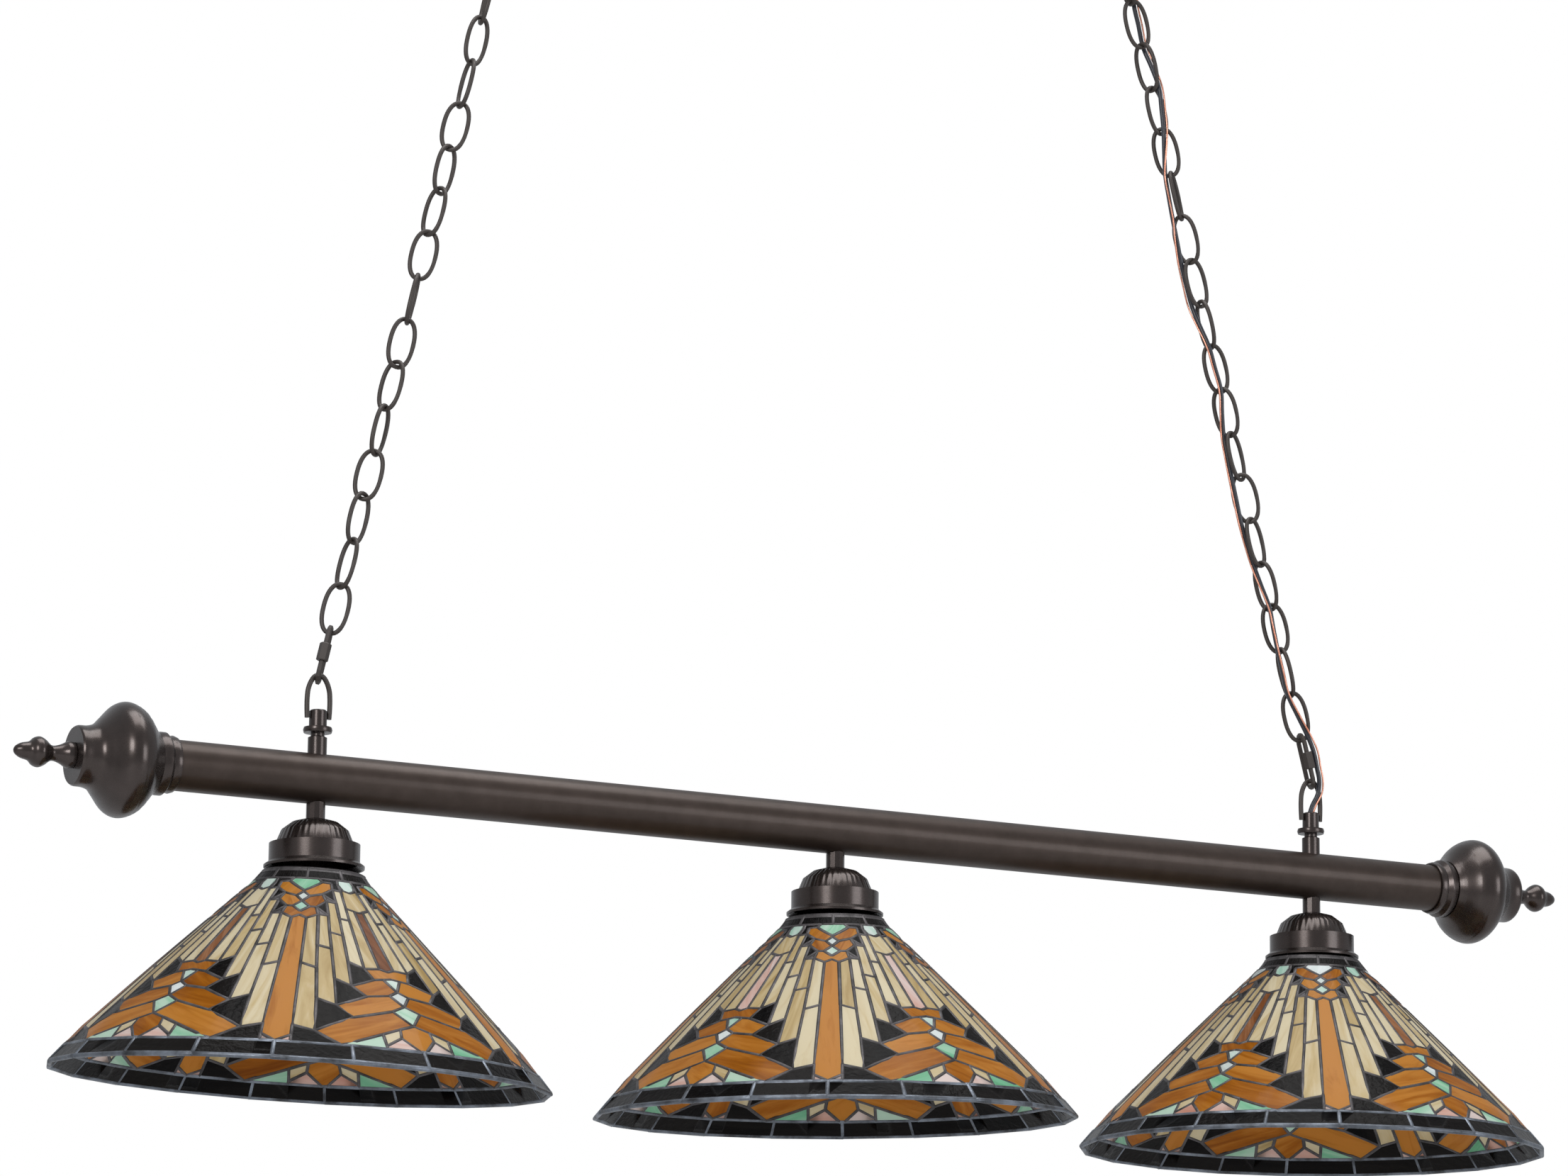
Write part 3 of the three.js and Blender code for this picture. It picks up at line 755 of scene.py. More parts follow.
@dataclass
class LeadedShade:
    """A conical shade of leaded glass with a twenty-sided border.

    Attributes:
        side: Which of the three shades this is.
        facing: Azimuth of a long amber stripe, in degrees from -Y towards +X.
        lean: How far the shade hangs out of true, in degrees.
        lean_toward: Azimuth that its axis leans towards, going up.
        shield: Glass of the wide shield under the top band.
        spine: Glass of the strip on the trees' axes.
        seed: Start of the random draws that tone its pieces.
        neck_top: Height of the top plane of a shade that hangs true.
    """

    side: Side
    facing: float
    lean: float
    lean_toward: float
    shield: Glass
    spine: Glass
    seed: int
    neck_top: float = -74.3
    neck_reach: float = 42.0
    outline: Profile = ((40.4, 0.0), (48.6, -10.4), (178.6, -138.2), (204.5, -168.6))
    sheet: float = 2.6
    came_half_width: float = 1.95
    solder_half_width: float = 2.2
    came_half_depth: float = 1.9
    slice_angle: float = 4.5
    facets: int = 20

    def place(self) -> Matrix:
        """Returns where the leaning shade's own frame lies."""
        lean, toward = math.radians(self.lean), math.radians(self.lean_toward)
        up = Vector((math.sin(toward) * math.sin(lean), -math.cos(toward) * math.sin(lean), math.cos(lean)))
        turn = Vector((0, 0, 1)).rotation_difference(up).to_matrix().to_4x4()
        height = self.neck_top - self.neck_reach * math.sin(lean)
        return LAMP @ Matrix.Translation((self.side.x, 0, height)) @ turn

    def height(self, radius: float) -> float:
        """Returns the height of the outer face at a radius."""
        for (r0, z0), (r1, z1) in zip(self.outline, self.outline[1:]):
            if radius <= r1 or (r1, z1) == self.outline[-1]:
                return z0 + (z1 - z0) * (radius - r0) / (r1 - r0)
        return 0.0

    def on_cone(self, angle: float, radius: float) -> tuple[Vector, Vector]:
        """Maps a pattern point onto the middle of the sheet.

        Args:
            angle: Degrees from the facing stripe.
            radius: Radius at the outer face.

        Returns:
            The point and the outward normal there.
        """
        facet = 360.0 / self.facets
        share = min(max((radius - 110.0) / 82.0, 0.0), 1.0)
        inside = (angle % facet) - facet / 2
        chord = math.cos(math.radians(facet / 2)) / math.cos(math.radians(inside))
        reach = radius * (1 + (chord - 1) * share * share * (3 - 2 * share))
        azimuth = math.radians(self.facing + angle)
        out = Vector((math.sin(azimuth), -math.cos(azimuth), 0.0))
        slope = (self.height(radius + 0.5) - self.height(radius - 0.5))
        normal = (out * -slope + Vector((0, 0, 1))).normalized()
        point = out * reach + Vector((0, 0, self.height(radius)))
        return point - normal * self.sheet * 0.55, normal

    def kind_of(self, number: int, kind: Glass) -> Glass:
        """Returns the glass of a piece of the pattern on this shade."""
        if number == 1:
            return self.shield
        return self.spine if kind is Glass.TAWNY else kind

    def build(self) -> None:
        """Makes the glass, the came and the soldered rim, and dresses them."""
        shade = f"{self.side.value}_shade"
        body = f"{shade}_body"
        dress(self.glass(f"{shade}_glass"), None, body, Slot.GLASS, shade)
        lines = self.lead_lines()
        inner = [line for line in lines if not self.is_rim(line)]
        border = [line for line in lines if self.is_rim(line)]
        came = self.strips(f"{shade}_came", inner, self.came_half_width)
        dress(came, metal_material(LEAD_CAME), body, Slot.GLASS)
        rim = self.strips(f"{shade}_solder", border, self.solder_half_width)
        dress(rim, metal_material(SOLDER_BEAD), body, Slot.GLASS)
        neck = turned(f"{shade}_neck", [
            (28, -1.6), (38.4, -1.6), (40.2, -2.6), (42.6, -5.2), (43.6, -4.0), (41.2, -0.9), (39.4, 0),
            (28, 0),
        ], self.place())
        dress(neck, metal_material(LEAD_CAME), body, Slot.GLASS)

    @staticmethod
    def is_rim(line: tuple[tuple[float, float], tuple[float, float]]) -> bool:
        """Says whether a lead line belongs to the soldered border."""
        return min(line[0][1], line[1][1]) >= BORDER_TOP - 0.01

    @staticmethod
    def is_mirror(line: tuple[tuple[float, float], tuple[float, float]]) -> bool:
        """Says whether a line only marks where a whole piece is mirrored."""
        (a0, r0), (a1, r1) = line
        return a0 == a1 and a0 in (0, HALF_REPEAT) and min(r0, r1) >= BAND_FOOT and max(r0, r1) <= BORDER_TOP

    def glass(self, name: str) -> bpy.types.Object:
        """Cuts the sheets and lays them on the cone.

        Args:
            name: Name of the piece.

        Returns:
            All the shade's glass, one closed sheet for each piece of the pattern.
        """
        draws = random.Random(self.seed)
        kinds = [kind for kind in Glass]
        shell = bmesh.new()
        grain = shell.loops.layers.uv.new(GRAIN_MAP)
        tone = shell.faces.layers.float.new(TONE_ATTRIBUTE)
        for start in (2 * HALF_REPEAT * repeat for repeat in range(REPEATS)):
            for number, kind, corners in self.repeat():
                faces = self.cut_sheet(shell, corners)
                shade_of_tone = draws.random()
                shift = Vector((draws.uniform(0, 9), draws.uniform(0, 9)))
                along = self.grain_direction(corners)
                across = Vector((-along.y, along.x))
                for face in faces:
                    face.material_index = kinds.index(self.kind_of(number, kind))
                    face[tone] = shade_of_tone
                    for loop in face.loops:
                        flat = Vector((loop.vert.co.x * SLANT, loop.vert.co.y * SLANT)) * MM
                        loop[grain].uv = Vector((flat.dot(along), flat.dot(across))) + shift
                for vert in {vert for face in faces for vert in face.verts}:
                    vert.co = self.on_cone(start + math.degrees(vert.co.x / UNROLLED), vert.co.y)[0]
        mesh = bpy.data.meshes.new(name)
        shell.to_mesh(mesh)
        shell.free()
        for kind in kinds:
            filled = kind is Glass.FILL
            mesh.materials.append(metal_material(LEAD_CAME) if filled else glass_material(SHEET_GLASS[kind]))
        piece = add_object(name, mesh)
        solid = piece.modifiers.new("sheet thickness", "SOLIDIFY")
        solid.thickness = self.sheet
        solid.offset = 0.0
        return settle(piece, self.place(), sharp=30.0)

    @staticmethod
    def repeat() -> list[tuple[int, Glass, list[tuple[float, float]]]]:
        """Mirrors the pattern into one repeat of 72 degrees, with the pieces on an axis left whole.

        Returns:
            The number in the pattern, the glass and the outline of each piece.
        """
        pieces = []
        for number, (kind, corners) in enumerate(PATTERN):
            for axis in (0, HALF_REPEAT):
                ends = [i for i, (angle, radius) in enumerate(corners)
                        if angle == axis and BAND_FOOT <= radius <= BORDER_TOP]
                if len(ends) == 2 and number:
                    first = ends[1] if ends[1] - ends[0] == 1 else ends[0]
                    round_it = [*corners[first:], *corners[:first]]
                    mirrored = [(2 * axis - angle, radius) for angle, radius in reversed(round_it[1:-1])]
                    pieces.append((number, kind, [*round_it, *mirrored]))
                    break
            else:
                pieces.append((number, kind, list(corners)))
                pieces.append((number, kind, [(-angle, radius) for angle, radius in reversed(corners)]))
        return pieces

    def cut_sheet(self, shell: bmesh.types.BMesh,
                  corners: Sequence[tuple[float, float]]) -> list[bmesh.types.BMFace]:
        """Lays one flat piece out and scores it so that it can bend round the cone.

        Args:
            shell: The mesh that takes the piece, laid flat with the angle across and the radius up.
            corners: The outline, as degrees and radius.

        Returns:
            The faces of the piece.
        """
        verts = [shell.verts.new((math.radians(angle) * UNROLLED, radius, 0.0)) for angle, radius in corners]
        faces = [shell.faces.new(verts)]
        cuts = [(Vector((math.radians(self.slice_angle * k) * UNROLLED, 0, 0)), Vector((1, 0, 0)))
                for k in range(-7, 16)]
        cuts += [(Vector((0, radius, 0)), Vector((0, 1, 0))) for radius in (130.0, 155.0, 178.6)]
        for point, normal in cuts:
            edges = {edge for face in faces for edge in face.edges}
            corners_now = {vert for face in faces for vert in face.verts}
            geometry = [*faces, *edges, *corners_now]
            bmesh.ops.bisect_plane(shell, geom=geometry, dist=1e-4, plane_co=point, plane_no=normal)
            found = {verts[0]}
            queue = [verts[0]]
            while queue:
                for edge in queue.pop().link_edges:
                    for vert in edge.verts:
                        if vert not in found:
                            found.add(vert)
                            queue.append(vert)
            faces = list({face for vert in found for face in vert.link_faces})
        return faces

    @staticmethod
    def grain_direction(corners: Sequence[tuple[float, float]]) -> Vector:
        """Returns the direction of a piece's longest edge, which the streaks follow."""
        flat = [Vector((math.radians(angle) * radius, radius * SLANT)) for angle, radius in corners]
        edges = [b - a for a, b in zip(flat, flat[1:] + flat[:1])]
        return max(edges, key=lambda edge: edge.length).normalized()

    def lead_lines(self) -> list[tuple[tuple[float, float], tuple[float, float]]]:
        """Finds each lead line of half a repeat once, split wherever another corner lies on it.

        Returns:
            Pairs of corners.
        """
        corners = sorted({corner for _, outline in PATTERN for corner in outline})
        lines = set()
        for _, outline in PATTERN:
            for start, end in zip(outline, outline[1:] + outline[:1]):
                a, b = Vector(start), Vector(end)
                span = b - a
                inside = [corner for corner in corners
                          if 0.001 < (Vector(corner) - a).dot(span) / span.length_squared < 0.999
                          and abs((Vector(corner) - a).cross(span)) / span.length < 0.12]
                stops = [start, *sorted(inside, key=lambda c: (Vector(c) - a).dot(span)), end]
                lines |= {tuple(sorted(pair)) for pair in zip(stops, stops[1:])}
        return sorted(line for line in lines if not self.is_mirror(line))

    def strips(self, name: str, lines: Sequence[tuple[tuple[float, float], tuple[float, float]]],
               half_width: float) -> bpy.types.Object:
        """Lays rounded strips over both faces of the joints.

        Args:
            name: Name of the piece.
            lines: Pairs of corners in half a repeat.
            half_width: Half of the strips' width.

        Returns:
            The strips of the whole shade.
        """
        draws = random.Random(self.seed + 1)
        sides = 8
        verts: list[Vector] = []
        faces: list[tuple[int, ...]] = []
        for half in range(10):
            mirrored = -1 if half % 2 else 1
            start = (half // 2) * 72.0
            for one, two in lines:
                on_mirror = one[0] == two[0] and one[0] in (0, HALF_REPEAT)
                if on_mirror and mirrored < 0:
                    continue
                steps = max(2, math.ceil(abs(two[0] - one[0]) / self.slice_angle) + 1,
                            math.ceil(abs(two[1] - one[1]) / 25.0) + 1)
                width = half_width * draws.uniform(0.88, 1.14)
                rows = []
                ends = [(math.radians(angle) * radius, radius * SLANT) for angle, radius in (one, two)]
                past = 0.8 * width / max(math.dist(*ends), 1.0)
                shares = [-past, *(step / (steps - 1) for step in range(steps)), 1 + past]
                steps = len(shares)
                for share in shares:
                    angle = start + mirrored * (one[0] + (two[0] - one[0]) * share)
                    rows.append(self.on_cone(angle, one[1] + (two[1] - one[1]) * share))
                for step, (point, normal) in enumerate(rows):
                    ahead = rows[min(step + 1, steps - 1)][0] - rows[max(step - 1, 0)][0]
                    side = ahead.normalized().cross(normal).normalized()
                    taper = 0.5 if step in (0, steps - 1) else 1.0
                    for corner in range(sides):
                        turn = 2 * math.pi * corner / sides
                        verts.append(point + side * width * taper * math.cos(turn)
                                     + normal * self.came_half_depth * taper * math.sin(turn))
                base = len(verts) - steps * sides
                for step in range(steps - 1):
                    for corner in range(sides):
                        near, far = base + step * sides, base + (step + 1) * sides
                        other = (corner + 1) % sides
                        faces.append((near + corner, near + other, far + other, far + corner))
                faces.append(tuple(range(base, base + sides)))
                faces.append(tuple(range(len(verts) - sides, len(verts))))
        mesh = bpy.data.meshes.new(name)
        mesh.from_pydata(verts, [], faces)
        mesh.transform(self.place())
        shell = bmesh.new()
        shell.from_mesh(mesh)
        bmesh.ops.recalc_face_normals(shell, faces=shell.faces)
        shell.to_mesh(mesh)
        shell.free()
        mesh.shade_smooth()
        return add_object(name, mesh)


# ---- the bar and what is screwed to it -------------------------------------------------------------
@dataclass
class BarAssembly:
    """The horizontal tube with its collars, bells, finials and loop bases."""

    half_length: float = 603.0
    radius: float = 20.6
    bore_radius: float = 18.6
    collar: Profile = (
        (21.1, 602.5), (22.4, 602.5), (23.4, 605.5), (22.6, 609.0), (25.6, 612.0), (25.6, 616.0),
        (24.4, 618.7), (21.1, 618.7),
    )
    bell_outside: Profile = (
        (25.3, 619.1), (28, 622), (41.2, 633), (45.8, 641.5), (46.6, 648), (43.8, 655), (33.6, 664.8),
        (27, 671.4), (24.8, 678), (24.3, 685.6), (23.2, 687.4),
    )
    bell_inside: Profile = (
        (5.6, 687.4), (5.6, 686), (22.6, 685.9), (23.2, 677), (26, 669.8), (42.2, 654.2), (45, 648),
        (44.2, 642), (39.8, 634.2), (26.8, 623), (24, 619.1),
    )
    finial_outline: Profile = (
        (10.8, 693), (7.6, 699), (6.2, 706), (10.6, 712.4), (12.4, 716.8), (11.2, 721.2), (7.9, 725), (6, 732),
        (3, 736.6), (0, 738),
    )
    loop_base: Profile = (
        (0, 16), (7.8, 16), (7.8, 34), (5.7, 35), (5.7, 37.6), (11.4, 38), (12, 40.2), (11.4, 42.4), (7.3, 43),
        (7.2, 55.8), (6.2, 56.8), (0, 56.8),
    )

    def build(self) -> None:
        """Makes and dresses every piece of the bar."""
        along = LAMP @ Matrix.Rotation(math.radians(90), 4, "Y")
        bore, outside, end = self.bore_radius, self.radius, self.half_length
        wall = [(bore, -end), (outside, -end), (outside, end), (bore, end)]
        tube = turned("bar_tube_turned", wall, along, 96)
        dress(tube, metal_material(BAR_BRONZE), "bar", Slot.BRONZE, "bar_tube")
        for side in (Side.LEFT, Side.RIGHT):
            outward = LAMP @ Matrix.Rotation(math.radians(90 * side.sign), 4, "Y")
            collar = turned(f"{side.value}_end_collar_turned", self.collar, outward, 96)
            dress(collar, metal_material(POLISHED_BRONZE), "bar", Slot.BRONZE, f"{side.value}_end_collar")
            bell = turned(f"{side.value}_end_bell_turned", self.grooved_bell(), outward, 128)
            dress(bell, metal_material(POLISHED_BRONZE), "bar", Slot.BRONZE, f"{side.value}_end_bell")
            acorn = [(max(p.x, 0.0), p.y) for p in spline(self.finial_outline, 5)]
            outline = [(5.4, 687.8), (10.4, 687.8), *acorn, (0, 702.4), (5.4, 702.4)]
            finial = turned(f"{side.value}_finial_turned", outline, outward, 64)
            dress(finial, metal_material(POLISHED_BRONZE), f"{side.value}_finial_body", Slot.BRONZE,
                  f"{side.value}_finial")
            upright = LAMP @ Matrix.Translation((side.x, 0, 0))
            base = turned(f"{side.value}_loop_base_turned", self.loop_base, upright, 64)
            dress(base, metal_material(POLISHED_BRONZE), "bar", Slot.BRONZE, f"{side.value}_loop_base")

    def grooved_bell(self) -> list[tuple[float, float]]:
        """Returns the bell's closed outline, with fine turned grooves on its inner flare."""
        outside = [(p.x, p.y) for p in spline(self.bell_outside, 7)]
        grooved = [(r - (0.35 if i % 2 and 622 < x < 641 else 0.0), x) for i, (r, x) in enumerate(outside)]
        return [*grooved, *self.bell_inside]


# ---- chains and ceiling fittings -------------------------------------------------------------------
@dataclass
class ChainHanger:
    """One chain: welded links from the ceiling ring down to the quick link, and the bail it hooks to.

    Attributes:
        side: Which end of the bar it holds.
        hook: Distance along the bar of the ceiling ring.
        half_length: Half of the length of a link's centre line.
        link_turns: Twist of each link about the chain, in degrees.
    """

    side: Side
    hook: float
    half_length: float
    link_turns: tuple[float, ...]
    half_width: float = 10.1
    wire: float = 1.9
    runs: tuple[int, ...] = (4, 4, 4, 3, 3)
    first_rise: float = 4.892
    run_rise: float = 4.556
    touching: float = 2.9
    fullness: float = 0.86

    def frame(self) -> Matrix:
        """Returns the chain's own frame, with +Z up the chain and the hook at its origin."""
        top = Vector((self.hook, 0, 815))
        up = (top - Vector((self.side.x, 0, 85.8))).normalized()
        away = Vector((0, 1, 0))
        along = away.cross(up)
        axes = Matrix((along, away, up)).transposed().to_4x4()
        return Matrix.Translation(top) @ axes

    def link_path(self) -> list[Vector]:
        """Returns the closed centre line of an oval link in the XZ plane."""
        across, up = self.half_width, self.half_length
        points = []
        for step in range(40):
            angle = 2 * math.pi * step / 40
            c, d = math.cos(angle), math.sin(angle)
            points.append(Vector((across * math.copysign(abs(c) ** self.fullness, c), 0,
                                  up * math.copysign(abs(d) ** self.fullness, d))))
        return points

    def build(self) -> None:
        """Makes and dresses the links, run by run, and the bail."""
        wire_at = -self.first_rise
        turns = iter(self.link_turns)
        for number, count in enumerate(self.runs, start=1):
            paths, weights = [], []
            for link in range(count):
                centre = wire_at + self.half_length
                spin = Matrix.Rotation(math.radians(next(turns)), 4, "Z")
                place = self.frame() @ Matrix.Translation((0, 0, -centre)) @ spin
                paths.append([place @ point for point in self.link_path()])
                weights.append([self.swell(point) for point in self.link_path()])
                wire_at += 2 * self.half_length - (self.touching if link < count - 1 else self.run_rise)
            run = wires(f"{self.side.value}_chain_links_{number}", paths, self.wire, True, LAMP, weights)
            node = f"{self.side.value}_chain_run_{number}"
            dress(run, metal_material(CHAIN_BRONZE), "hangers", Slot.CHAIN, node)
        corner = [
            (9.6, 0, 50), (10, 0, 58), (10, 0, 66), (9.3, 0, 73.5), (7, 0, 80), (3.8, 0, 84.4), (0, 0, 85.8),
        ]
        arch = [*corner, *((-x, y, z) for x, y, z in reversed(corner[:-1]))]
        place = LAMP @ Matrix.Translation((self.side.x, 0, 0))
        bail = wires(f"{self.side.value}_bail_bent", [spline(arch, 5)], 2.1, False, place)
        dress(bail, metal_material(CHAIN_BRONZE), "hangers", Slot.CHAIN, f"{self.side.value}_bail")

    @staticmethod
    def swell(point: Vector) -> float:
        """Returns the wire's share of its radius at a point, pinched at the welded seam on one side."""
        return 0.93 if point.x > 0 and abs(point.z) < 14 and point.z < 0 else 1.0


@dataclass
class Canopy:
    """A dished ceiling canopy and its lock ring; the ring that the chain hooks to is not made here.

    Attributes:
        side: Which chain it holds.
        x: Distance along the bar.
        cord_hole: Distance along the bar from its middle of the cord's hole, if it has one.
    """

    side: Side
    x: float
    cord_hole: float | None = None
    dish: Profile = (
        (5.3, 839), (34, 839), (50, 844.8), (60.5, 858), (63.5, 871), (63.5, 875), (61.9, 875), (61.9, 871.4),
        (58.8, 858.8), (49, 846.2), (33.8, 840.6), (5.3, 840.6),
    )
    lock_ring: Profile = ((5.3, 835), (8.6, 835), (9.4, 835.8), (9.4, 838), (8.6, 838.7), (5.3, 838.7))

    def build(self) -> None:
        """Makes and dresses the canopy and its lock ring."""
        place = LAMP @ Matrix.Translation((self.x, 0, 0))
        dish = turned(f"{self.side.value}_canopy_spun", self.dish, place, 96)
        if self.cord_hole is not None:
            self.drill(dish)
        dress(dish, metal_material(POLISHED_BRONZE), "root", Slot.BRONZE, f"{self.side.value}_canopy")
        ring = turned(f"{self.side.value}_lock_ring_turned", self.lock_ring, place, 64)
        dress(ring, metal_material(POLISHED_BRONZE), f"{self.side.value}_lock_ring_body", Slot.BRONZE,
              f"{self.side.value}_lock_ring")

    def drill(self, dish: bpy.types.Object) -> None:
        """Cuts the cord's hole through the canopy.

        Args:
            dish: The canopy, already in place.
        """
        place = LAMP @ Matrix.Translation((self.x + self.cord_hole, 0, 0))
        drill = turned("cord_hole_drill", [(0, 825), (8.5, 825), (8.5, 855), (0, 855)], place, 32)
        cut = dish.modifiers.new("cord hole", "BOOLEAN")
        cut.object = drill
        cut.solver = "EXACT"
        graph = bpy.context.evaluated_depsgraph_get()
        dish.data = bpy.data.meshes.new_from_object(dish.evaluated_get(graph))
        dish.modifiers.clear()
        bpy.data.objects.remove(drill)


@dataclass
class CordRun:
    """A cord woven down through the right chain.

    Attributes:
        name: Name of the piece.
        node: The CAD node that it stands for.
        slot: The record's slot of its finish.
        diameter: Its diameter.
        length: Its real length, in metres; not used.
        route: Points as (down the chain, along the bar, away), from the hook.
    """

    name: str
    node: str
    slot: Slot
    diameter: float
    length: float
    route: Sequence[tuple[float, float, float]]

    def build(self, chain: ChainHanger, material: bpy.types.Material) -> None:
        """Args:
            chain: The chain that it is woven through.
            material: The cord's finish.
        """
        frame = chain.frame()
        stops = [(along, away, -down) for down, along, away in self.route]
        path = [LAMP @ frame @ point for point in spline(stops, 4)]
        curve = bpy.data.curves.new(self.name, "CURVE")
        curve.dimensions = "3D"
        curve.bevel_depth = self.diameter * MM / 2
        curve.bevel_resolution = 4
        curve.use_fill_caps = True
        strand = curve.splines.new("POLY")
        strand.points.add(len(path) - 1)
        for point, at in zip(strand.points, path):
            point.co = (*at, 1.0)
        cord = add_object(self.name, curve)
        measured = sum((b - a).length for a, b in zip(path, path[1:]))
        log.info("%s measures %.3f m", self.name, measured)
        dress(cord, material, "hangers", self.slot, self.node)


LEAD_ROUTE = [
    (-34, 28.5, 0), (-18, 24.5, 0), (-3, 17, 0), (16, 9.5, 2), (37, 4.6, 4.1), (57, 5, 5.2),
    (77, 5.4, 6.4), (97, 6.5, 2), (118, 5.8, -3.3), (137, 2.4, -4.8), (158, -1, -5), (176, -4, -3.2),
    (197, -6.8, -0.5), (217, -8, 0), (237, -8.8, 0.6), (257, -8.6, 2), (277, -8.3, 3.7),
    (297, -7.6, 4.8), (318, -6.4, 5.2), (337, -5.6, 0.8), (356, -4.6, -4), (376, -3.6, -4.2),
    (397, -2.7, -4.3), (417, -5, -1.2), (437, -6.7, 1.8), (457, -8.2, 1.4), (477, -9.3, 0.5),
    (496, -9.6, 0.6), (516, -9.9, 0.9), (536, -8, 2), (556, -5.8, 2.5), (576, -4.8, -0.6),
    (596, -3.6, -3.6), (615, -4.4, -3.4), (635, -4.9, -3.1), (655, -4.9, -3), (675, -4.9, -3),
    (695, -1, -5), (716, 3.4, -7.1), (730, 6.4, -6), (744, 6.6, -5), (756, 6, -4.9), (767, 2.6, -3),
    (776, -4.4, -0.8), (783.2, -9, 0),
]
GROUND_ROUTE = [
    (-34, 31.8, -1), (-18, 28, -1), (-3, 20.4, -1), (16, 13, 1), (37, 8.2, 3.4), (57, 8.5, 4.5),
    (77, 8.7, 5.5), (97, 9.6, 1), (118, 9.1, -3.9), (137, 5.4, -6.4), (158, 1.4, -7.4),
    (176, -4, -6.6), (197, -9, -3.2), (217, -9.8, -2.8), (237, -10.4, -2.4), (257, -11.6, 0.6),
    (277, -11.7, 3.6), (297, -11, 5), (318, -9.8, 6), (337, -8.9, 0.4), (356, -7.8, -5.3),
    (376, -6.6, -5.6), (397, -5.7, -6), (417, -8, -3), (437, -9.9, 0.8), (457, -11.4, 0.4),
    (477, -12.6, -0.1), (496, -12.9, 0), (516, -13.1, 0.1), (536, -11.3, 1.2), (556, -9.1, 1.6),
    (576, -7.8, -2.4), (596, -6, -5.9), (615, -6.2, -6.2), (635, -6.3, -6.3), (655, -6, -6.3),
    (675, -5.6, -6.4), (695, -1.2, -8.4), (716, 4.6, -10.4), (730, 8.8, -8.9), (744, 8.7, -7.7),
    (756, 7.9, -8), (767, 5.4, -5.6), (776, -1, -2.2), (784, -5.7, 0.2),
]


# ---- lamp holders ----------------------------------------------------------------------------------
@dataclass
class Fitter:
    """The fluted cap and flared collar of one lamp holder.

    Attributes:
        side: Which of the three places it hangs at.
    """

    side: Side
    cap: Profile = (
        (5.3, -34.7), (9.5, -34.9), (18, -37.8), (26.4, -44.4), (30.4, -53.2), (31.6, -53.2), (27.4, -43),
        (18.8, -36.4), (9.8, -33.5), (5.3, -33.3),
    )
    collar: Profile = (
        (5.3, -55.2), (35.6, -55.2), (35.6, -69.4), (39.5, -73.6), (40.9, -73.6), (41, -71.6), (37, -68.6),
        (37, -53.8), (5.3, -53.8),
    )
    flutes: int = 36
    flute_depth: float = 0.45

    def build(self) -> None:
        """Makes and dresses the cap and the collar."""
        place = LAMP @ Matrix.Translation((self.side.x, 0, 0))
        cap = turned(f"{self.side.value}_fluted_cap_spun", self.cap, Matrix.Identity(4), self.flutes * 4)
        for vert in cap.data.vertices:
            reach = math.hypot(vert.co.x, vert.co.y)
            if reach > 10.5:
                wave = math.cos(self.flutes * math.atan2(vert.co.y, vert.co.x))
                vert.co.z += self.flute_depth * wave * min(1.0, (reach - 10.5) / 6)
        cap.data.transform(place)
        dress(cap, metal_material(POLISHED_BRONZE), "bar", Slot.BRONZE, f"{self.side.value}_fluted_cap")
        collar = turned(f"{self.side.value}_collar_turned", self.collar, place, 96)
        dress(collar, metal_material(POLISHED_BRONZE), "bar", Slot.BRONZE, f"{self.side.value}_collar")


# ---- the remaining CAD nodes, the room and the camera ----------------------------------------------
def finish_remaining(frame: dict) -> None:
    """Gives the CAD nodes that stay their procedural finish.
    """
    by_slot = {
        Slot.BRONZE: metal_material(POLISHED_BRONZE),
        Slot.CHAIN: metal_material(CHAIN_BRONZE),
        Slot.STEEL: metal_material(ZINC_STEEL),
        Slot.BULB: bulb_material(),
        Slot.HOLDER: sheath_material(HOLDER_BLACK),
        Slot.WIRING: sheath_material(WIRE_BLACK),
    }
    slots = {part["node"]: part["material_slot"] for part in frame["record"]["subparts"]}
    for name, node in frame["nodes"].items():
        if node.hide_render:
            continue
        for place in node.material_slots:
            place.material = by_slot[Slot(slots[name])]
        log.info("%s keeps its mesh", name)


@dataclass(frozen=True)
class SoftLight:
    """A rectangular softbox.

    Attributes:
        name: Name of the light.
        position: Where it stands, in metres.
        target: What it faces, in metres.
        size: Width and height, in metres.
        watts: Its power.
        colour: Its tint.
    """

    name: str
    position: tuple[float, float, float]
    target: tuple[float, float, float]
    size: tuple[float, float]
    watts: float
    colour: Colour = (1.0, 1.0, 1.0)

    def build(self) -> None:
        """Places the light."""
        data = bpy.data.lights.new(self.name, "AREA")
        data.shape = "RECTANGLE"
        data.size, data.size_y = self.size
        data.energy = self.watts
        data.color = self.colour
        lamp = add_object(self.name, data)
        lamp.location = self.position
        aim = Vector(self.target) - Vector(self.position)
        lamp.rotation_euler = aim.to_track_quat("-Z", "Y").to_euler()


LIGHTS = (
    SoftLight("key_softbox", (-4.2, -3.4, 0.9), (0.0, 0.0, -0.9), (1.8, 1.8), 120.0),
    SoftLight("fill_softbox", (2.6, -4.2, -0.2), (0.1, 0.0, -0.95), (2.2, 2.2), 70.0, (0.95, 0.97, 1.0)),
    SoftLight("top_softbox", (0.0, -0.3, 1.6), (0.0, 0.0, -0.9), (2.6, 1.6), 60.0),
)


